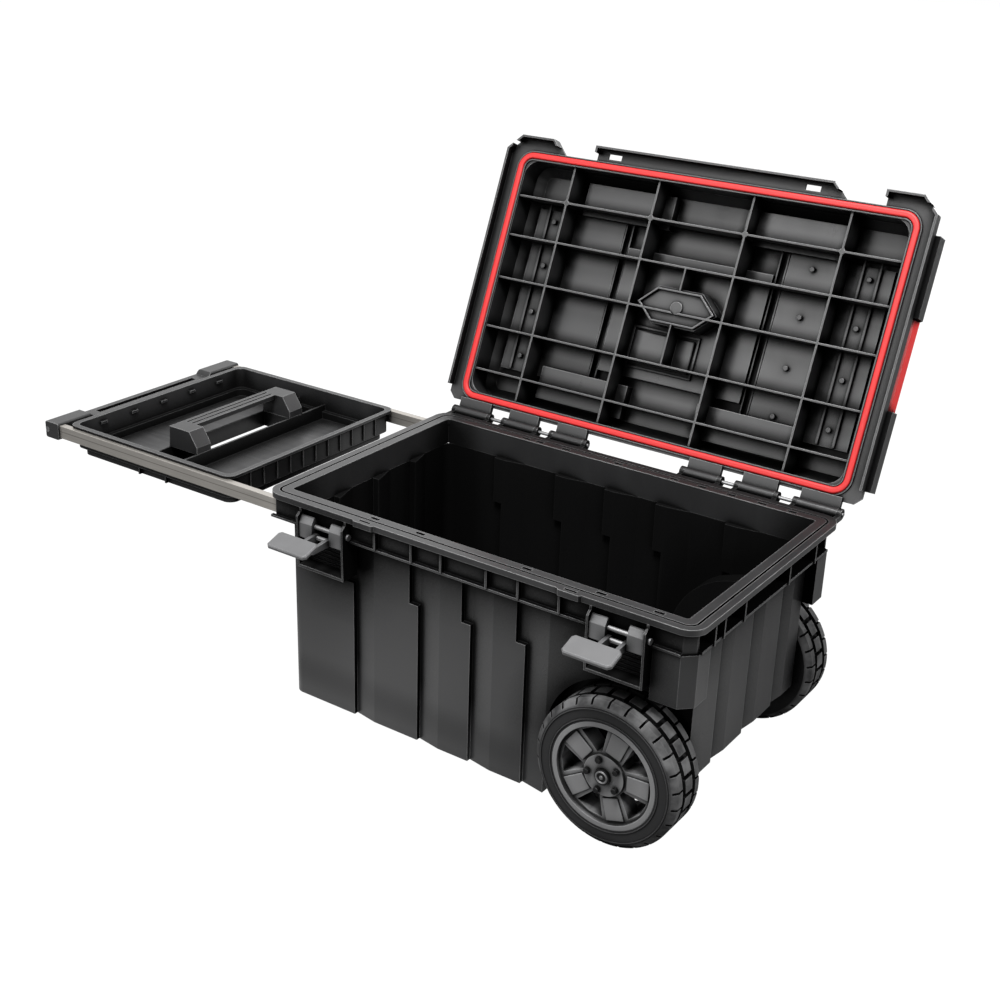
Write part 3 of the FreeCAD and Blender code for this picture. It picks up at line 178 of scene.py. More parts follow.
# Colours
BLACK = (0.013, 0.013, 0.0134)
# Edge grey: wear, and a painted highlight
EDGE_WEAR_AND_HIGHLIGHT_GREY = (0.26, 0.26, 0.262)
# Scuff grey: scuffs, and a painted sheen on the tray floor
SCUFF_AND_SHEEN_GREY = (0.055, 0.055, 0.0555)
LATCH_GREY = (0.07, 0.07, 0.0715)
LATCH_EDGE = (0.2, 0.2, 0.204)
SEAL_RED = (0.55, 0.014, 0.014)
CLIP_RED = (0.6, 0.01, 0.01)
CLIP_EDGE = (0.75, 0.1, 0.1)
RAIL_GREY = (0.5, 0.475, 0.44)
# Painted shade of the rail's groove
RAIL_GROOVE_SHADE = (0.12, 0.11, 0.1)
STEEL_GREY = (0.24, 0.24, 0.243)
BOLT_GREY = (0.03, 0.03, 0.0305)
TYRE_BLACK = (0.007, 0.007, 0.0074)
TYRE_DUST = (0.1, 0.1, 0.101)
TYRE_EDGE = (0.13, 0.13, 0.132)
RIM_GREY = (0.13, 0.13, 0.1315)
RIM_EDGE = (0.3, 0.3, 0.303)

# Plastics: colour, worn edge with painted highlight, roughness and strength of grain
BLACK_PLASTIC = (BLACK, EDGE_WEAR_AND_HIGHLIGHT_GREY, 0.33, 0.35)
LATCH_PLASTIC = (LATCH_GREY, LATCH_EDGE, 0.45, 0.3)
CLIP_PLASTIC = (CLIP_RED, CLIP_EDGE, 0.38, 0.2)
WHEEL_PLASTIC = (RIM_GREY, RIM_EDGE, 0.46, 0.3)

# Metals: colour and roughness
RAIL_METAL = (RAIL_GREY, 0.38)
STEEL = (STEEL_GREY, 0.48)
DARK_BOLT = (BOLT_GREY, 0.45)

# Noise: scale, detail and stretch
CLOUDS = (9.0, 4.0)
STREAKS = (55.0, 3.0, (1.0, 1.0, 0.12))
SPECKS = (1500.0, 1.0)
SCRATCHES = (260.0, 3.0, (0.06, 1.0, 1.0))
SEAL_CLOUDS = (30.0, 3.0)
SEAL_PORES = (900.0, 2.0)
METAL_CLOUDS = (25.0, 2.0)
METAL_GRAIN = (900.0, 3.0)
RAIL_LINES = (900.0, 3.0, (0.02, 1.0, 1.0))
TYRE_CLOUDS = (40.0, 4.0)
TYRE_GRIT = (700.0, 3.0)

# Worn edges with a painted highlight: radius and gain
PLASTIC_EDGE_WEAR_AND_HIGHLIGHT = (0.0016, 5.0)
TYRE_EDGE_WEAR_AND_HIGHLIGHT = (0.002, 4.0)

# Softened edges in the shading, and depths of bumps
BEVEL_SAMPLES = 6
PLASTIC_ROUND = 0.0012
SEAL_SOFT = 0.0015
METAL_ROUND = 0.0007
TYRE_ROUND = 0.0015
SPECK_DEPTH = 0.00012
PORE_BUMP = (0.25, 0.0002)
LINE_BUMP = (0.12, 0.0001)
GRIT_BUMP = (0.6, 0.0004)

# Scuffs and a painted sheen lie on faces that look up: least upward share, gain, and sharpness of the top
# level
SCUFF_AND_SHEEN_UP = 0.7
SCUFF_AND_SHEEN_GAIN = 5.0
SCUFF_AND_SHEEN_SHARP = 2000.0

# The rail's painted groove shade: level, sharpness and depth
RAIL_LINE = 0.2865
RAIL_LINE_SHARP = 900.0
RAIL_LINE_DEPTH = 0.75
RAIL_METALLIC = 0.85

# The tyre's dusty shoulder: middle of the wheels, radius and sharpness
WHEEL_MIDDLE = (0.223, 0.0, 0.097)
TYRE_SHOULDER = 0.0885
TYRE_SHOULDER_SHARP = 400.0
TYRE_SHINE = 0.3

# Share of a colour that is left in its darker tone
DARKER = 0.72


class Value:
    """A shader socket; arithmetic on it adds Math nodes."""

    def __init__(self, finish, socket):
        self.finish = finish
        self.socket = socket

    def math(self, operation, first, second):
        made = self.finish.node("ShaderNodeMath", {"operation": operation}, {0: first, 1: second})
        return Value(self.finish, made.outputs[0])

    def __add__(self, other):
        return self.math("ADD", self, other)

    def __sub__(self, other):
        return self.math("SUBTRACT", self, other)

    def __rsub__(self, other):
        return self.math("SUBTRACT", other, self)

    def __mul__(self, other):
        return self.math("MULTIPLY", self, other)

    def size(self):
        return self.math("ABSOLUTE", self, 0.0)

    def clamped(self):
        made = self.finish.node("ShaderNodeClamp", {}, {"Value": self})
        return Value(self.finish, made.outputs[0])


class Finish:
    """One material: its node tree, with short ways to add nodes and link them."""

    def __init__(self, name):
        self.material = bpy.data.materials.new(name)
        self.material.use_nodes = True
        self.tree = self.material.node_tree
        self.shader = next(n for n in self.tree.nodes if n.type == "BSDF_PRINCIPLED")
        self.place = self.value("ShaderNodeTexCoord", "Object")
        self.normal = self.value("ShaderNodeNewGeometry", "Normal")

    def node(self, kind, settings=None, sockets=None):
        made = self.tree.nodes.new(kind)
        for key, setting in (settings or {}).items():
            setattr(made, key, setting)
        for key, value in (sockets or {}).items():
            self.feed(made.inputs[key], value)
        return made

    def feed(self, socket, value):
        if isinstance(value, Value):
            self.tree.links.new(value.socket, socket)
        else:
            socket.default_value = value

    def value(self, kind, output, settings=None, sockets=None):
        return Value(self, self.node(kind, settings, sockets).outputs[output])

    def surface(self, **sockets):
        """Sets the shader's sockets; an underscore in a name stands for a space."""
        for key, value in sockets.items():
            self.feed(self.shader.inputs[key.replace("_", " ")], value)

    def vector(self, operation, output, *parts):
        """Vector arithmetic on one or two parts."""
        return self.value("ShaderNodeVectorMath", output, {"operation": operation}, dict(enumerate(parts)))

    def noise(self, scale, detail, stretch=None):
        """Soft noise between 0 and 1."""
        place = self.place
        if stretch:
            place = self.value("ShaderNodeMapping", "Vector", {}, {"Vector": place, "Scale": stretch})
        sockets = {"Vector": place, "Scale": scale, "Detail": detail}
        return self.value("ShaderNodeTexNoise", "Fac", {}, sockets)

    def mix(self, share, first, second):
        """A colour between two, by share."""
        sockets = {"Factor": share, 6: first, 7: second}
        made = self.node("ShaderNodeMix", {"data_type": "RGBA"}, sockets)
        return Value(self, made.outputs[2])

    def part(self, axis, place):
        """One coordinate of a vector."""
        return self.value("ShaderNodeSeparateXYZ", axis, {}, {"Vector": place})

    def rounded(self, radius):
        """Normals that run softly round an edge."""
        return self.value("ShaderNodeBevel", "Normal", {"samples": BEVEL_SAMPLES}, {"Radius": radius})

    def edges(self, radius, gain):
        """A mask that is 1 on edges and 0 on plain faces."""
        soft = self.rounded(radius)
        along = self.vector("DOT_PRODUCT", "Value", soft, self.normal)
        return ((1 - along) * gain).clamped()

    def crevice_shade(self, reach, gain):
        """A mask for painted shade that grows to 1 in corners and under overhangs closer than reach."""
        settings = {"samples": CREVICE_SAMPLES}
        open_share = self.value("ShaderNodeAmbientOcclusion", "AO", settings, {"Distance": reach})
        return ((1 - open_share) * gain).clamped()

    def paint_shade(self, share):
        """Mixes a painted shade of matte black into the shader by share."""
        sockets = {"Base Color": colour(PAINTED_SHADE_BLACK), "Roughness": PAINTED_SHADE_ROUGH, "Specular IOR Level": 0.0}
        shade_black = self.node("ShaderNodeBsdfPrincipled", {}, sockets)
        mix = self.node("ShaderNodeMixShader", {}, {0: share})
        self.tree.links.new(self.shader.outputs[0], mix.inputs[1])
        self.tree.links.new(shade_black.outputs[0], mix.inputs[2])
        out = next(n for n in self.tree.nodes if n.type == "OUTPUT_MATERIAL")
        self.tree.links.new(mix.outputs[0], out.inputs["Surface"])

    def bump(self, height, strength, distance, normal):
        """Normals bent by a height, on top of other normals."""
        sockets = {"Strength": strength, "Distance": distance, "Height": height, "Normal": normal}
        return self.value("ShaderNodeBump", "Normal", {}, sockets)


def colour(rgb):
    """A colour with full alpha."""
    return (*rgb, 1.0)


def moulded(name, base, edge, roughness, grain, crevice_shade=SMALL_CREVICE_SHADE, scuff_and_sheen_level=None, hollow=False):
    """Moulded plastic: fine spark-eroded grain, cloudy sheen, and paler edges from wear and a painted
    highlight.

    Below the given level, the faces that look up are paler in scratchy lines: scuffs from what is laid on
    them, and a painted sheen.
    The faces that look into a hollow piece get a painted shade and fainter edge wear and highlight, and the
    painted crevice shade fades out near its foot.
    """
    finish = Finish(name)
    cloud = finish.noise(*CLOUDS)
    streak = finish.noise(*STREAKS)
    speck = finish.noise(*SPECKS)
    # Paler edges: wear, and a painted highlight
    edge_wear_and_highlight = finish.edges(*PLASTIC_EDGE_WEAR_AND_HIGHLIGHT) * (cloud * 0.7 + 0.55)
    # Painted shade: matte black mixed in where corners and overhangs close in
    shade = finish.crevice_shade(*crevice_shade) * CREVICE_SHADE_DEPTH
    if hollow:
        level = finish.vector("MULTIPLY", "Vector", finish.place, (1.0, 1.0, 0.0))
        inward = finish.vector("DOT_PRODUCT", "Value", finish.normal, level)
        # Painted shade: the faces that look into the hollow are darkened
        inside = (inward * -INSIDE_SHARP).clamped()
        shade = shade * ((finish.part("Z", finish.place) - PAINTED_SHADE_FROM) * PAINTED_SHADE_FADE).clamped()
        edge_wear_and_highlight = edge_wear_and_highlight * (1 - inside * (1 - INSIDE_WEAR_AND_HIGHLIGHT))
        shade = (shade + inside * INSIDE_SHADE).clamped()
    pale = tuple(c * 1.6 + 0.001 for c in base)
    tone = finish.mix(cloud * 0.6 + streak * 0.4, colour(base), colour(pale))
    if scuff_and_sheen_level:
        # Paler up-facing faces below the level: scuffs, and a painted sheen
        lying = ((finish.part("Z", finish.normal) - SCUFF_AND_SHEEN_UP) * SCUFF_AND_SHEEN_GAIN).clamped()
        low = ((scuff_and_sheen_level - finish.part("Z", finish.place)) * SCUFF_AND_SHEEN_SHARP).clamped()
        scratch = (finish.noise(*SCRATCHES) * 1.3 - 0.1).clamped()
        tone = finish.mix(lying * low * scratch, tone, colour(SCUFF_AND_SHEEN_GREY))
    finish.surface(
        Base_Color=finish.mix(edge_wear_and_highlight.clamped(), tone, colour(edge)),
        Roughness=cloud * 0.2 + streak * 0.1 + speck * 0.06 + (roughness - 0.18),
        Normal=finish.bump(speck, grain, SPECK_DEPTH, finish.rounded(PLASTIC_ROUND)),
    )
    finish.paint_shade(shade)
    return finish.material


def soft_seal(name, base):
    """Foam rubber seal: even red with fine pores."""
    finish = Finish(name)
    cloud = finish.noise(*SEAL_CLOUDS)
    pore = finish.noise(*SEAL_PORES)
    deep = tuple(c * DARKER for c in base)
    finish.surface(
        Base_Color=finish.mix(cloud, colour(deep), colour(base)),
        Roughness=cloud * 0.15 + 0.45,
        Normal=finish.bump(pore, *PORE_BUMP, finish.rounded(SEAL_SOFT)),
    )
    return finish.material


def drawn_rail(name, base, roughness):
    """Drawn aluminium tube: lines along X and a painted groove shade along the side."""
    finish = Finish(name)
    line = finish.noise(*RAIL_LINES)
    cloud = finish.noise(*METAL_CLOUDS)
    off = (finish.part("Z", finish.place) - RAIL_LINE).size()
    # Painted shade of a groove along the rail's side
    groove_shade = (1 - off * RAIL_LINE_SHARP).clamped()
    dark = tuple(c * DARKER for c in base)
    tone = finish.mix(line, colour(dark), colour(base))
    finish.surface(
        Base_Color=finish.mix(groove_shade * RAIL_LINE_DEPTH, tone, colour(RAIL_GROOVE_SHADE)),
        Metallic=RAIL_METALLIC,
        Roughness=cloud * 0.1 + line * 0.12 + (roughness - 0.1),
        Normal=finish.bump(line, *LINE_BUMP, finish.rounded(METAL_ROUND)),
    )
    return finish.material


def plain_metal(name, base, roughness):
    """Plain metal with a fine, even grain."""
    finish = Finish(name)
    line = finish.noise(*METAL_GRAIN)
    cloud = finish.noise(*METAL_CLOUDS)
    dark = tuple(c * DARKER for c in base)
    finish.surface(
        Base_Color=finish.mix(line, colour(dark), colour(base)),
        Metallic=1.0,
        Roughness=cloud * 0.1 + line * 0.12 + (roughness - 0.1),
        Normal=finish.bump(line, *LINE_BUMP, finish.rounded(METAL_ROUND)),
    )
    return finish.material


def tread_rubber(name, base):
    """Tyre rubber: dull charcoal, dusty and paler on the shoulder blocks, with paler edges from wear and a
    painted highlight.
    """
    finish = Finish(name)
    cloud = finish.noise(*TYRE_CLOUDS)
    grit = finish.noise(*TYRE_GRIT)
    arm = finish.vector("SUBTRACT", "Vector", finish.place, WHEEL_MIDDLE)
    flat = finish.vector("MULTIPLY", "Vector", arm, (1.0, 0.0, 1.0))
    reach = finish.vector("LENGTH", "Value", flat)
    block = ((reach - TYRE_SHOULDER) * TYRE_SHOULDER_SHARP).clamped()
    # Paler edges: wear, and a painted highlight
    edge_wear_and_highlight = finish.edges(*TYRE_EDGE_WEAR_AND_HIGHLIGHT) * (cloud * 0.8 + 0.3)
    dust = tuple(c * 1.6 + 0.003 for c in base)
    tone = finish.mix(cloud * 0.5 + grit * 0.5, colour(base), colour(dust))
    blocks = finish.mix(block * (cloud * 3.0 - 1.05).clamped(), tone, colour(TYRE_DUST))
    finish.surface(
        Base_Color=finish.mix(edge_wear_and_highlight.clamped(), blocks, colour(TYRE_EDGE)),
        Roughness=cloud * 0.15 + grit * 0.1 + 0.6,
        Normal=finish.bump(grit, *GRIT_BUMP, finish.rounded(TYRE_ROUND)),
        Specular_IOR_Level=TYRE_SHINE,
    )
    # Painted shade: matte black mixed in at the tyre's corners and between its blocks
    finish.paint_shade(finish.crevice_shade(*TYRE_CREVICE_SHADE) * CREVICE_SHADE_DEPTH)
    return finish.material


FINISHES = {
    "black_plastic": moulded("black_plastic", *BLACK_PLASTIC, TUB_CREVICE_SHADE),
    "tub_plastic": moulded("tub_plastic", *BLACK_PLASTIC, TUB_CREVICE_SHADE, hollow=True),
    "lid_plastic": moulded("lid_plastic", *BLACK_PLASTIC, LID_CREVICE_SHADE),
    "grip_plastic": moulded("grip_plastic", *BLACK_PLASTIC),
    "tray_plastic": moulded("tray_plastic", *BLACK_PLASTIC, TRAY_CREVICE_SHADE, scuff_and_sheen_level=TRAY_FLOOR),
    "latch_plastic": moulded("latch_plastic", *LATCH_PLASTIC),
    "red_plastic": moulded("red_plastic", *CLIP_PLASTIC),
    "red_seal": soft_seal("red_seal", SEAL_RED),
    "rail_aluminium": drawn_rail("rail_aluminium", *RAIL_METAL),
    "steel": plain_metal("steel", *STEEL),
    "dark_bolt": plain_metal("dark_bolt", *DARK_BOLT),
    "tyre_rubber": tread_rubber("tyre_rubber", TYRE_BLACK),
    "wheel_plastic": moulded("wheel_plastic", *WHEEL_PLASTIC),
}


# Nodes whose finish is a shade of their slot
SHADES = {
    "tub_shell": "tub_plastic",
    "tub_floor": "tub_plastic",
    "crossbar": "grip_plastic",
    "lid_shell": "lid_plastic",
    "lid_ribs": "lid_plastic",
    "tray_shell": "tray_plastic",
    "tray_grip": "grip_plastic",
    "wheel_bolts_front": "dark_bolt",
    "wheel_bolts_rear": "dark_bolt",
    "axle_cap_front": "dark_bolt",
    "axle_cap_rear": "dark_bolt",
}


def dress_nodes():
    """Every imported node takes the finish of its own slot, or a shade of it."""
    slots = {s["node"]: s["material_slot"] for s in frame["record"]["subparts"]}
    for name, node in nodes.items():
        finish = SHADES.get(name, slots[name])
        node.data.materials.clear()
        node.data.materials.append(FINISHES[finish])


def bar(shape, low, high, edge):
    """A bar between two corners with rounded edges."""
    size = Vector(high) - Vector(low)
    turn = Matrix.Translation((Vector(low) + Vector(high)) / 2) @ Matrix.Diagonal((*size, 1.0))
    made = bmesh.ops.create_cube(shape, size=1.0, matrix=turn)
    soften(shape, made["verts"], edge)


def post(shape, turn, sides, radius, height, edge):
    """A round or many-sided post on a plane given by turn, with a rounded top."""
    place = turn @ Matrix.Translation((0, 0, height / 2))
    made = bmesh.ops.create_cone(
        shape, cap_ends=True, segments=sides, radius1=radius, radius2=radius, depth=height, matrix=place)
    soften(shape, made["verts"], edge)


def soften(shape, verts, edge):
    """Rounds the sharp edges at the given corners."""
    edges = {e for v in verts for e in v.link_edges}
    sharp = [e for e in edges if e.calc_face_angle(0.0) > SHARP_ANGLE]
    bmesh.ops.bevel(
        shape, geom=sharp, offset=edge, offset_type="OFFSET", segments=2, profile=0.5, affect="EDGES",
        clamp_overlap=True, material=-1)


def rounded_ring(shape, half_x, half_y, corner, width, low, high):
    """A flat-sided ring round a rounded rectangle, from one level to another."""
    turn = Matrix.Translation((0, 0, low)) @ Matrix.Diagonal((half_x, half_y, 1.0, 1.0))
    made = bmesh.ops.create_grid(shape, x_segments=1, y_segments=1, size=1.0, matrix=turn)
    bmesh.ops.bevel(
        shape, geom=made["verts"], offset=corner, offset_type="OFFSET", segments=12, profile=0.5,
        affect="VERTICES", clamp_overlap=True, material=-1)
    level = [f for f in shape.faces if abs(f.calc_center_median().z - low) < SAME_LEVEL]
    sheet = max(level, key=lambda f: f.calc_area())
    wall_from_edge(shape, sheet, width, high - low)


def wall_from_edge(shape, sheet, width, rise):
    """Leaves only the outer edge of a flat face, as a wall of that width and rise."""
    before = set(shape.faces) - {sheet}
    sheet.normal_update()
    bmesh.ops.inset_region(shape, faces=[sheet], thickness=width, use_boundary=True, use_even_offset=True)
    bmesh.ops.delete(shape, geom=[sheet], context="FACES_ONLY")
    ring = [f for f in shape.faces if f not in before]
    raised = bmesh.ops.extrude_face_region(shape, geom=ring)
    tops = [v for v in raised["geom"] if isinstance(v, bmesh.types.BMVert)]
    bmesh.ops.translate(shape, verts=tops, vec=(0, 0, rise))


def hoop(shape, place, radius, bead, steps):
    """A round bead bent into a circle about the Z of a place."""
    start = place @ Matrix.Translation((radius, 0, 0)) @ Matrix.Rotation(math.pi / 2, 4, "X")
    ring = bmesh.ops.create_circle(shape, segments=BEAD_SIDES, radius=bead, matrix=start)
    edges = list({e for v in ring["verts"] for e in v.link_edges})
    bmesh.ops.spin(
        shape, geom=ring["verts"] + edges, cent=place.translation, axis=place.col[2].xyz,
        angle=2 * math.pi, steps=steps, use_merge=True, use_duplicate=False)


def finished(shape, name, body, slot, finish=None):
    """Turns a drawn shape into a piece that rides on a body."""
    bmesh.ops.remove_doubles(shape, verts=shape.verts, dist=WELD)
    bmesh.ops.recalc_face_normals(shape, faces=shape.faces)
    mesh = bpy.data.meshes.new(name)
    shape.to_mesh(mesh)
    shape.free()
    mesh.materials.append(FINISHES[finish or slot])
    piece = bpy.data.objects.new(name, mesh)
    scene.collection.objects.link(piece)
    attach(piece, body)
    return piece


def wheel_place(side):
    """The middle of a wheel's outer face, and a turn whose Z points out of it."""
    low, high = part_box("wheel_rim_" + side)
    out = -1 if side == "front" else 1
    y = low[1] if out < 0 else high[1]
    centre = Vector(((low[0] + high[0]) / 2, y, (low[2] + high[2]) / 2))
    return Matrix.Translation(centre) @ Matrix.Rotation(-out * math.pi / 2, 4, "X")


def sidewall_rings(side):
    """Raised beads round the tyre's outer wall."""
    place = wheel_place(side)
    shape = bmesh.new()
    for radius in SIDEWALL_RINGS:
        hoop(shape, place, radius, SIDEWALL_BEAD, SIDEWALL_STEPS)
    finished(shape, "sidewall_rings_" + side, "wheel_" + side, "tyre_rubber")


def spoke_pads(side):
    """Raised face on every spoke."""
    place = wheel_place(side)
    face = place @ Matrix.Translation((0, 0, -SPOKE_SINK))
    shape = bmesh.new()
    for i in range(SPOKES):
        turn = face @ Matrix.Rotation(WINDOW_TURN + (i + 0.5) * 2 * math.pi / SPOKES, 4, "Z")
        root, tip = SPOKE_HALF
        corners = [(SPOKE_START, -root), (SPOKE_END, -tip), (SPOKE_END, tip), (SPOKE_START, root)]
        verts = [shape.verts.new(turn @ Vector((x, y, 0))) for x, y in corners]
        pad = shape.faces.new(verts)
        raised = bmesh.ops.extrude_face_region(shape, geom=[pad])
        tops = [v for v in raised["geom"] if isinstance(v, bmesh.types.BMVert)]
        bmesh.ops.translate(shape, verts=tops, vec=turn.col[2].xyz * SPOKE_RISE)
        soften(shape, tops, EDGE_SOFT)
    finished(shape, "spoke_pads_" + side, "wheel_" + side, "wheel_plastic")


def bolt_nuts(side):
    """Hexagon nuts on the hub's bolts."""
    low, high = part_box("wheel_bolts_" + side)
    depth = low[1] if side == "front" else high[1]
    place = wheel_place(side)
    place.translation.y = depth
    shape = bmesh.new()
    for i in range(SPOKES):
        turn = place @ Matrix.Rotation(WINDOW_TURN + i * 2 * math.pi / SPOKES, 4, "Z")
        seat = turn @ Matrix.Translation((NUT_CIRCLE, 0, 0))
        post(shape, seat, NUT_SIDES, NUT_RADIUS, NUT_HEIGHT, EDGE_SOFT)
    finished(shape, "bolt_nuts_" + side, "wheel_" + side, "steel", "dark_bolt")


def axle_eye(side):
    """Bright ring and pin end on the axle's dark cap."""
    low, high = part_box("axle_cap_" + side)
    place = wheel_place(side)
    place.translation.y = low[1] if side == "front" else high[1]
    shape = bmesh.new()
    hoop(shape, place, *AXLE_RING, AXLE_RING_STEPS)
    radius, rise = AXLE_PIN
    post(shape, place @ Matrix.Translation((0, 0, -rise)), AXLE_PIN_SIDES, radius, 2 * rise, EDGE_SOFT)
    finished(shape, "axle_eye_" + side, "tub", "steel")


def lid_turn():
    """How a point of the closed lid moves to the open lid."""
    hinge = next(j for j in frame["record"]["behaviour"]["joints"] if j["name"] == "lid_hinge")
    axle = Matrix.Translation(hinge["pos_m"])
    angle = math.radians(hinge["range_deg"][1])
    return axle @ Matrix.Rotation(-angle, 4, "X") @ axle.inverted()


def lid_mouldings():
    """Raised tile, ridges, middle rib, bars and pips on the inside of the lid."""
    shape = bmesh.new()
    x0, x1, y0, y1 = LID_TILE
    level = LID_FIELD_LEVEL
    bar(shape, (x0, y0, level - LID_TILE_RISE), (x1, y1, level), LID_TILE_SOFT)
    gap = LID_TILE_GAP
    far = gap + LID_TILE_FRAME
    low = level - LID_FRAME_RISE
    bar(shape, (x0 - far, y0 - far, low), (x1 + far, y0 - gap, level), EDGE_SOFT)
    bar(shape, (x0 - far, y1 + gap, low), (x1 + far, y1 + far, level), EDGE_SOFT)
    bar(shape, (x0 - far, y0 - gap, low), (x0 - gap, y1 + gap, level), EDGE_SOFT)
    bar(shape, (x1 + gap, y0 - gap, low), (x1 + far, y1 + gap, level), EDGE_SOFT)
    width, length, rise = LID_RIDGE
    low = LID_PANEL_LEVEL - rise
    for x in LID_RIDGES_X:
        bar(shape, (x - width / 2, -length, low), (x + width / 2, length, LID_PANEL_LEVEL), EDGE_SOFT / 2)
    half = LID_MID_RIB_WIDTH / 2
    for start, end in LID_MID_RIB:
        bar(shape, (-half, start, LID_RIB_LEVEL), (half, end, level), EDGE_SOFT / 2)
    width, length, rise = LID_BAR
    low = LID_BAR_LEVEL - rise
    for x in LID_BARS_X:
        bar(shape, (x - width / 2, -length, low), (x + width / 2, length, LID_BAR_LEVEL), EDGE_SOFT)
    for x in LID_PIPS_X:
        for y in LID_PIPS_Y:
            turn = Matrix.Translation((x, y, LID_BAR_LEVEL)) @ Matrix.Rotation(math.pi, 4, "X")
            post(shape, turn, LID_PIP_SIDES, *LID_PIP, EDGE_SOFT)
    shape.transform(lid_turn())
    finished(shape, "lid_mouldings", "lid", "black_plastic", "lid_plastic")


def hex_cup():
    """Six-sided wall and a small ring on the lid's middle well."""
    shape = bmesh.new()
    tip, shoulder, side, mid = HEX_TIP, HEX_SHOULDER, HEX_SIDE, HEX_MIDDLE
    plan = [(-tip, 0), (-shoulder, -side), (shoulder, -side), (tip, 0), (shoulder, side), (-shoulder, side)]
    sheet = shape.faces.new([shape.verts.new((x, y + mid, HEX_LEVEL)) for x, y in plan])
    wall_from_edge(shape, sheet, HEX_WALL, -HEX_RISE)
    hoop(shape, Matrix.Translation((0, mid, HEX_LEVEL)), *HEX_RING, HEX_RING_STEPS)
    shape.transform(lid_turn())
    finished(shape, "hex_cup", "lid", "black_plastic", "lid_plastic")


def seal_lips():
    """Thin raised lips on both sides of the seal."""
    shape = bmesh.new()
    half_x, half_y = SEAL_HALF
    for off in (LIP_GAP + LIP_WIDTH, -SEAL_WIDTH - LIP_GAP):
        rounded_ring(
            shape, half_x + off, half_y + off, SEAL_CORNER + off, LIP_WIDTH, LIP_LEVEL, LIP_LEVEL - LIP_RISE)
    shape.transform(lid_turn())
    finished(shape, "seal_lips", "lid", "black_plastic", "lid_plastic")


def seal_bead():
    """The seal with its edges rounded over, in place of the plain one."""
    shape = bmesh.new()
    shape.from_mesh(nodes["lid_gasket"].data)
    shape.transform(nodes["lid_gasket"].matrix_world)
    bmesh.ops.remove_doubles(shape, verts=shape.verts, dist=WELD)
    bmesh.ops.dissolve_limit(shape, angle_limit=SEAL_FLAT_ANGLE, verts=shape.verts, edges=shape.edges)
    sharp = [e for e in shape.edges if e.calc_face_angle(0.0) > SEAL_SHARP_ANGLE]
    bmesh.ops.bevel(
        shape, geom=sharp, offset=SEAL_ROUND, offset_type="OFFSET", segments=3, profile=0.5, affect="EDGES",
        clamp_overlap=True, material=-1)
    bead = finished(shape, "seal_bead", "lid", "red_seal")
    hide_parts("lid_gasket")


def place_camera():
    """The camera of the photograph."""
    az = math.radians(CAMERA_AZIMUTH)
    el = math.radians(CAMERA_ELEVATION)
    back = Vector((math.sin(az) * math.cos(el), -math.cos(az) * math.cos(el), math.sin(el)))
    right = Vector((math.cos(az), math.sin(az), 0))
    up = back.cross(right)
    turn = Matrix((right, up, back)).transposed() @ Matrix.Rotation(math.radians(CAMERA_ROLL), 3, "Z")
    camera = bpy.data.objects.new("camera", bpy.data.cameras.new("camera"))
    camera.data.lens = CAMERA_LENS
    camera.data.sensor_width = CAMERA_SENSOR
    camera.data.clip_end = CAMERA_FAR
    camera.matrix_world = Matrix.Translation(CAMERA_PLACE) @ turn.to_4x4()
    scene.collection.objects.link(camera)
    scene.camera = camera


def add_lamp(name, place, target, size, power):
    """A round lamp that looks at a target."""
    lamp = bpy.data.lights.new(name, "AREA")
    lamp.shape = "DISK"
    lamp.size = size
    lamp.energy = power
    holder = bpy.data.objects.new(name, lamp)
    aim = Vector(target) - Vector(place)
    holder.matrix_world = Matrix.Translation(place) @ aim.to_track_quat("-Z", "Y").to_matrix().to_4x4()
    scene.collection.objects.link(holder)


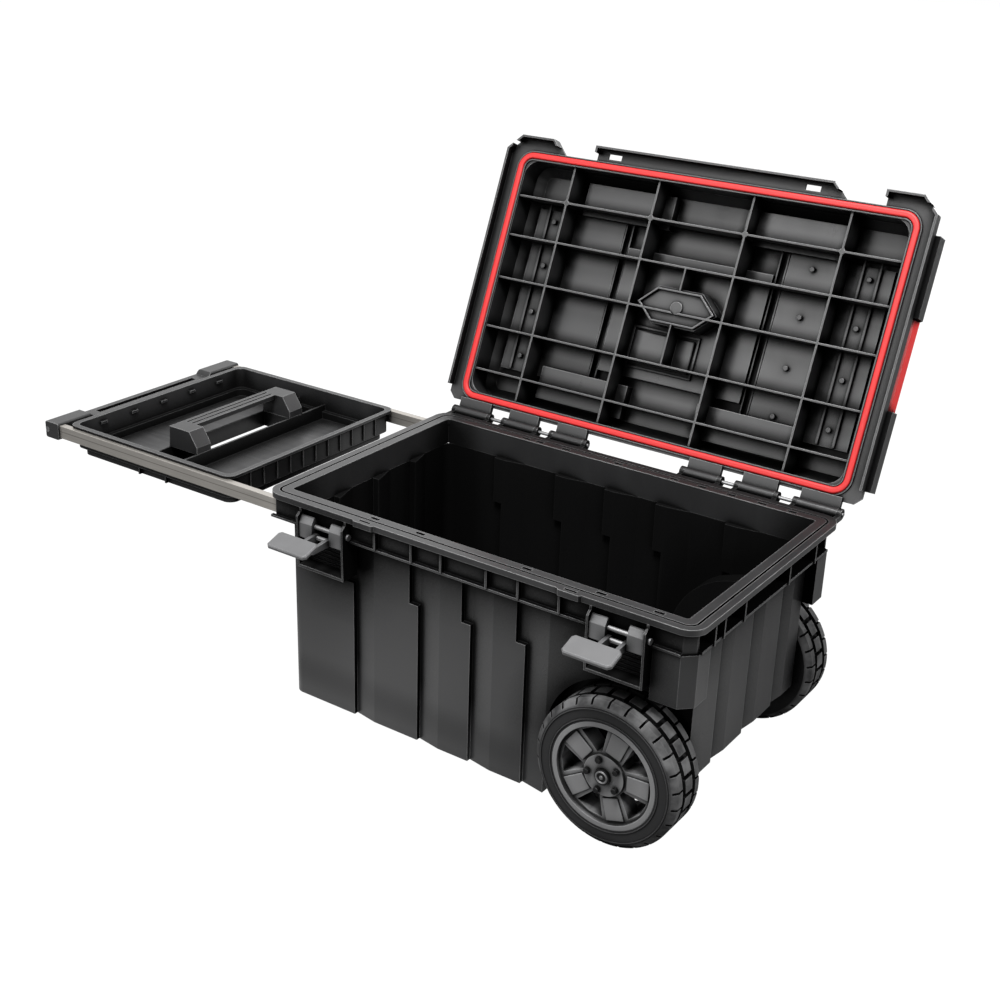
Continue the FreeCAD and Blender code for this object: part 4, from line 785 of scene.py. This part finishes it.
def pale_world():
    """Soft white surroundings; the camera sees plain white."""
    world = bpy.data.worlds.new("studio")
    scene.world = world
    world.use_nodes = True
    tree = world.node_tree
    ground = next(n for n in tree.nodes if n.type == "BACKGROUND")
    out = next(n for n in tree.nodes if n.type == "OUTPUT_WORLD")
    ground.inputs["Color"].default_value = colour(WORLD_TINT)
    ground.inputs["Strength"].default_value = WORLD_STRENGTH
    white = tree.nodes.new("ShaderNodeBackground")
    white.inputs["Color"].default_value = colour(WHITE)
    path = tree.nodes.new("ShaderNodeLightPath")
    mirrored = tree.nodes.new("ShaderNodeMath")
    mirrored.operation = "MAXIMUM"
    tree.links.new(path.outputs["Is Glossy Ray"], mirrored.inputs[0])
    tree.links.new(path.outputs["Is Transmission Ray"], mirrored.inputs[1])
    seen = tree.nodes.new("ShaderNodeMath")
    seen.operation = "MAXIMUM"
    tree.links.new(path.outputs["Is Camera Ray"], seen.inputs[0])
    tree.links.new(mirrored.outputs[0], seen.inputs[1])
    mix = tree.nodes.new("ShaderNodeMixShader")
    tree.links.new(seen.outputs[0], mix.inputs[0])
    tree.links.new(ground.outputs[0], mix.inputs[1])
    tree.links.new(white.outputs[0], mix.inputs[2])
    tree.links.new(mix.outputs[0], out.inputs["Surface"])


def pale_floor():
    """A wide white floor that keeps the soft shadow."""
    shape = bmesh.new()
    bmesh.ops.create_grid(shape, x_segments=1, y_segments=1, size=FLOOR_SIZE)
    bmesh.ops.translate(shape, verts=shape.verts, vec=(0, 0, FLOOR_LEVEL))
    mesh = bpy.data.meshes.new("floor")
    shape.to_mesh(mesh)
    shape.free()
    floor = bpy.data.objects.new("floor", mesh)
    scene.collection.objects.link(floor)
    finish = Finish("floor_white")
    finish.surface(Base_Color=colour(FLOOR_GREY), Roughness=FLOOR_ROUGH)
    tree = finish.tree
    glow = finish.node("ShaderNodeEmission", {}, {"Color": colour(WHITE), "Strength": FLOOR_GLOW})
    path = finish.node("ShaderNodeLightPath")
    seen = Value(finish, path.outputs["Is Camera Ray"]) * FLOOR_SEEN
    glossy = Value(finish, path.outputs["Is Glossy Ray"])
    mirrored = glossy + Value(finish, path.outputs["Is Transmission Ray"])
    pool = 0.0
    for place, reach in FLOOR_POOLS:
        far = finish.vector("DISTANCE", "Value", finish.place, place)
        pool = ((reach - far) * FLOOR_POOL_FALL).clamped() + pool
    mix = finish.node("ShaderNodeMixShader", {}, {0: (seen + mirrored * pool).clamped()})
    tree.links.new(finish.shader.outputs[0], mix.inputs[1])
    tree.links.new(glow.outputs[0], mix.inputs[2])
    out = next(n for n in tree.nodes if n.type == "OUTPUT_MATERIAL")
    tree.links.new(mix.outputs[0], out.inputs["Surface"])
    mesh.materials.append(finish.material)


dress_nodes()
for wheel in ("front", "rear"):
    sidewall_rings(wheel)
    spoke_pads(wheel)
    bolt_nuts(wheel)
    axle_eye(wheel)
lid_mouldings()
hex_cup()
seal_lips()
seal_bead()
place_camera()
pale_world()
pale_floor()
for lamp in LAMPS:
    add_lamp(*lamp)
scene.view_settings.view_transform = "Standard"
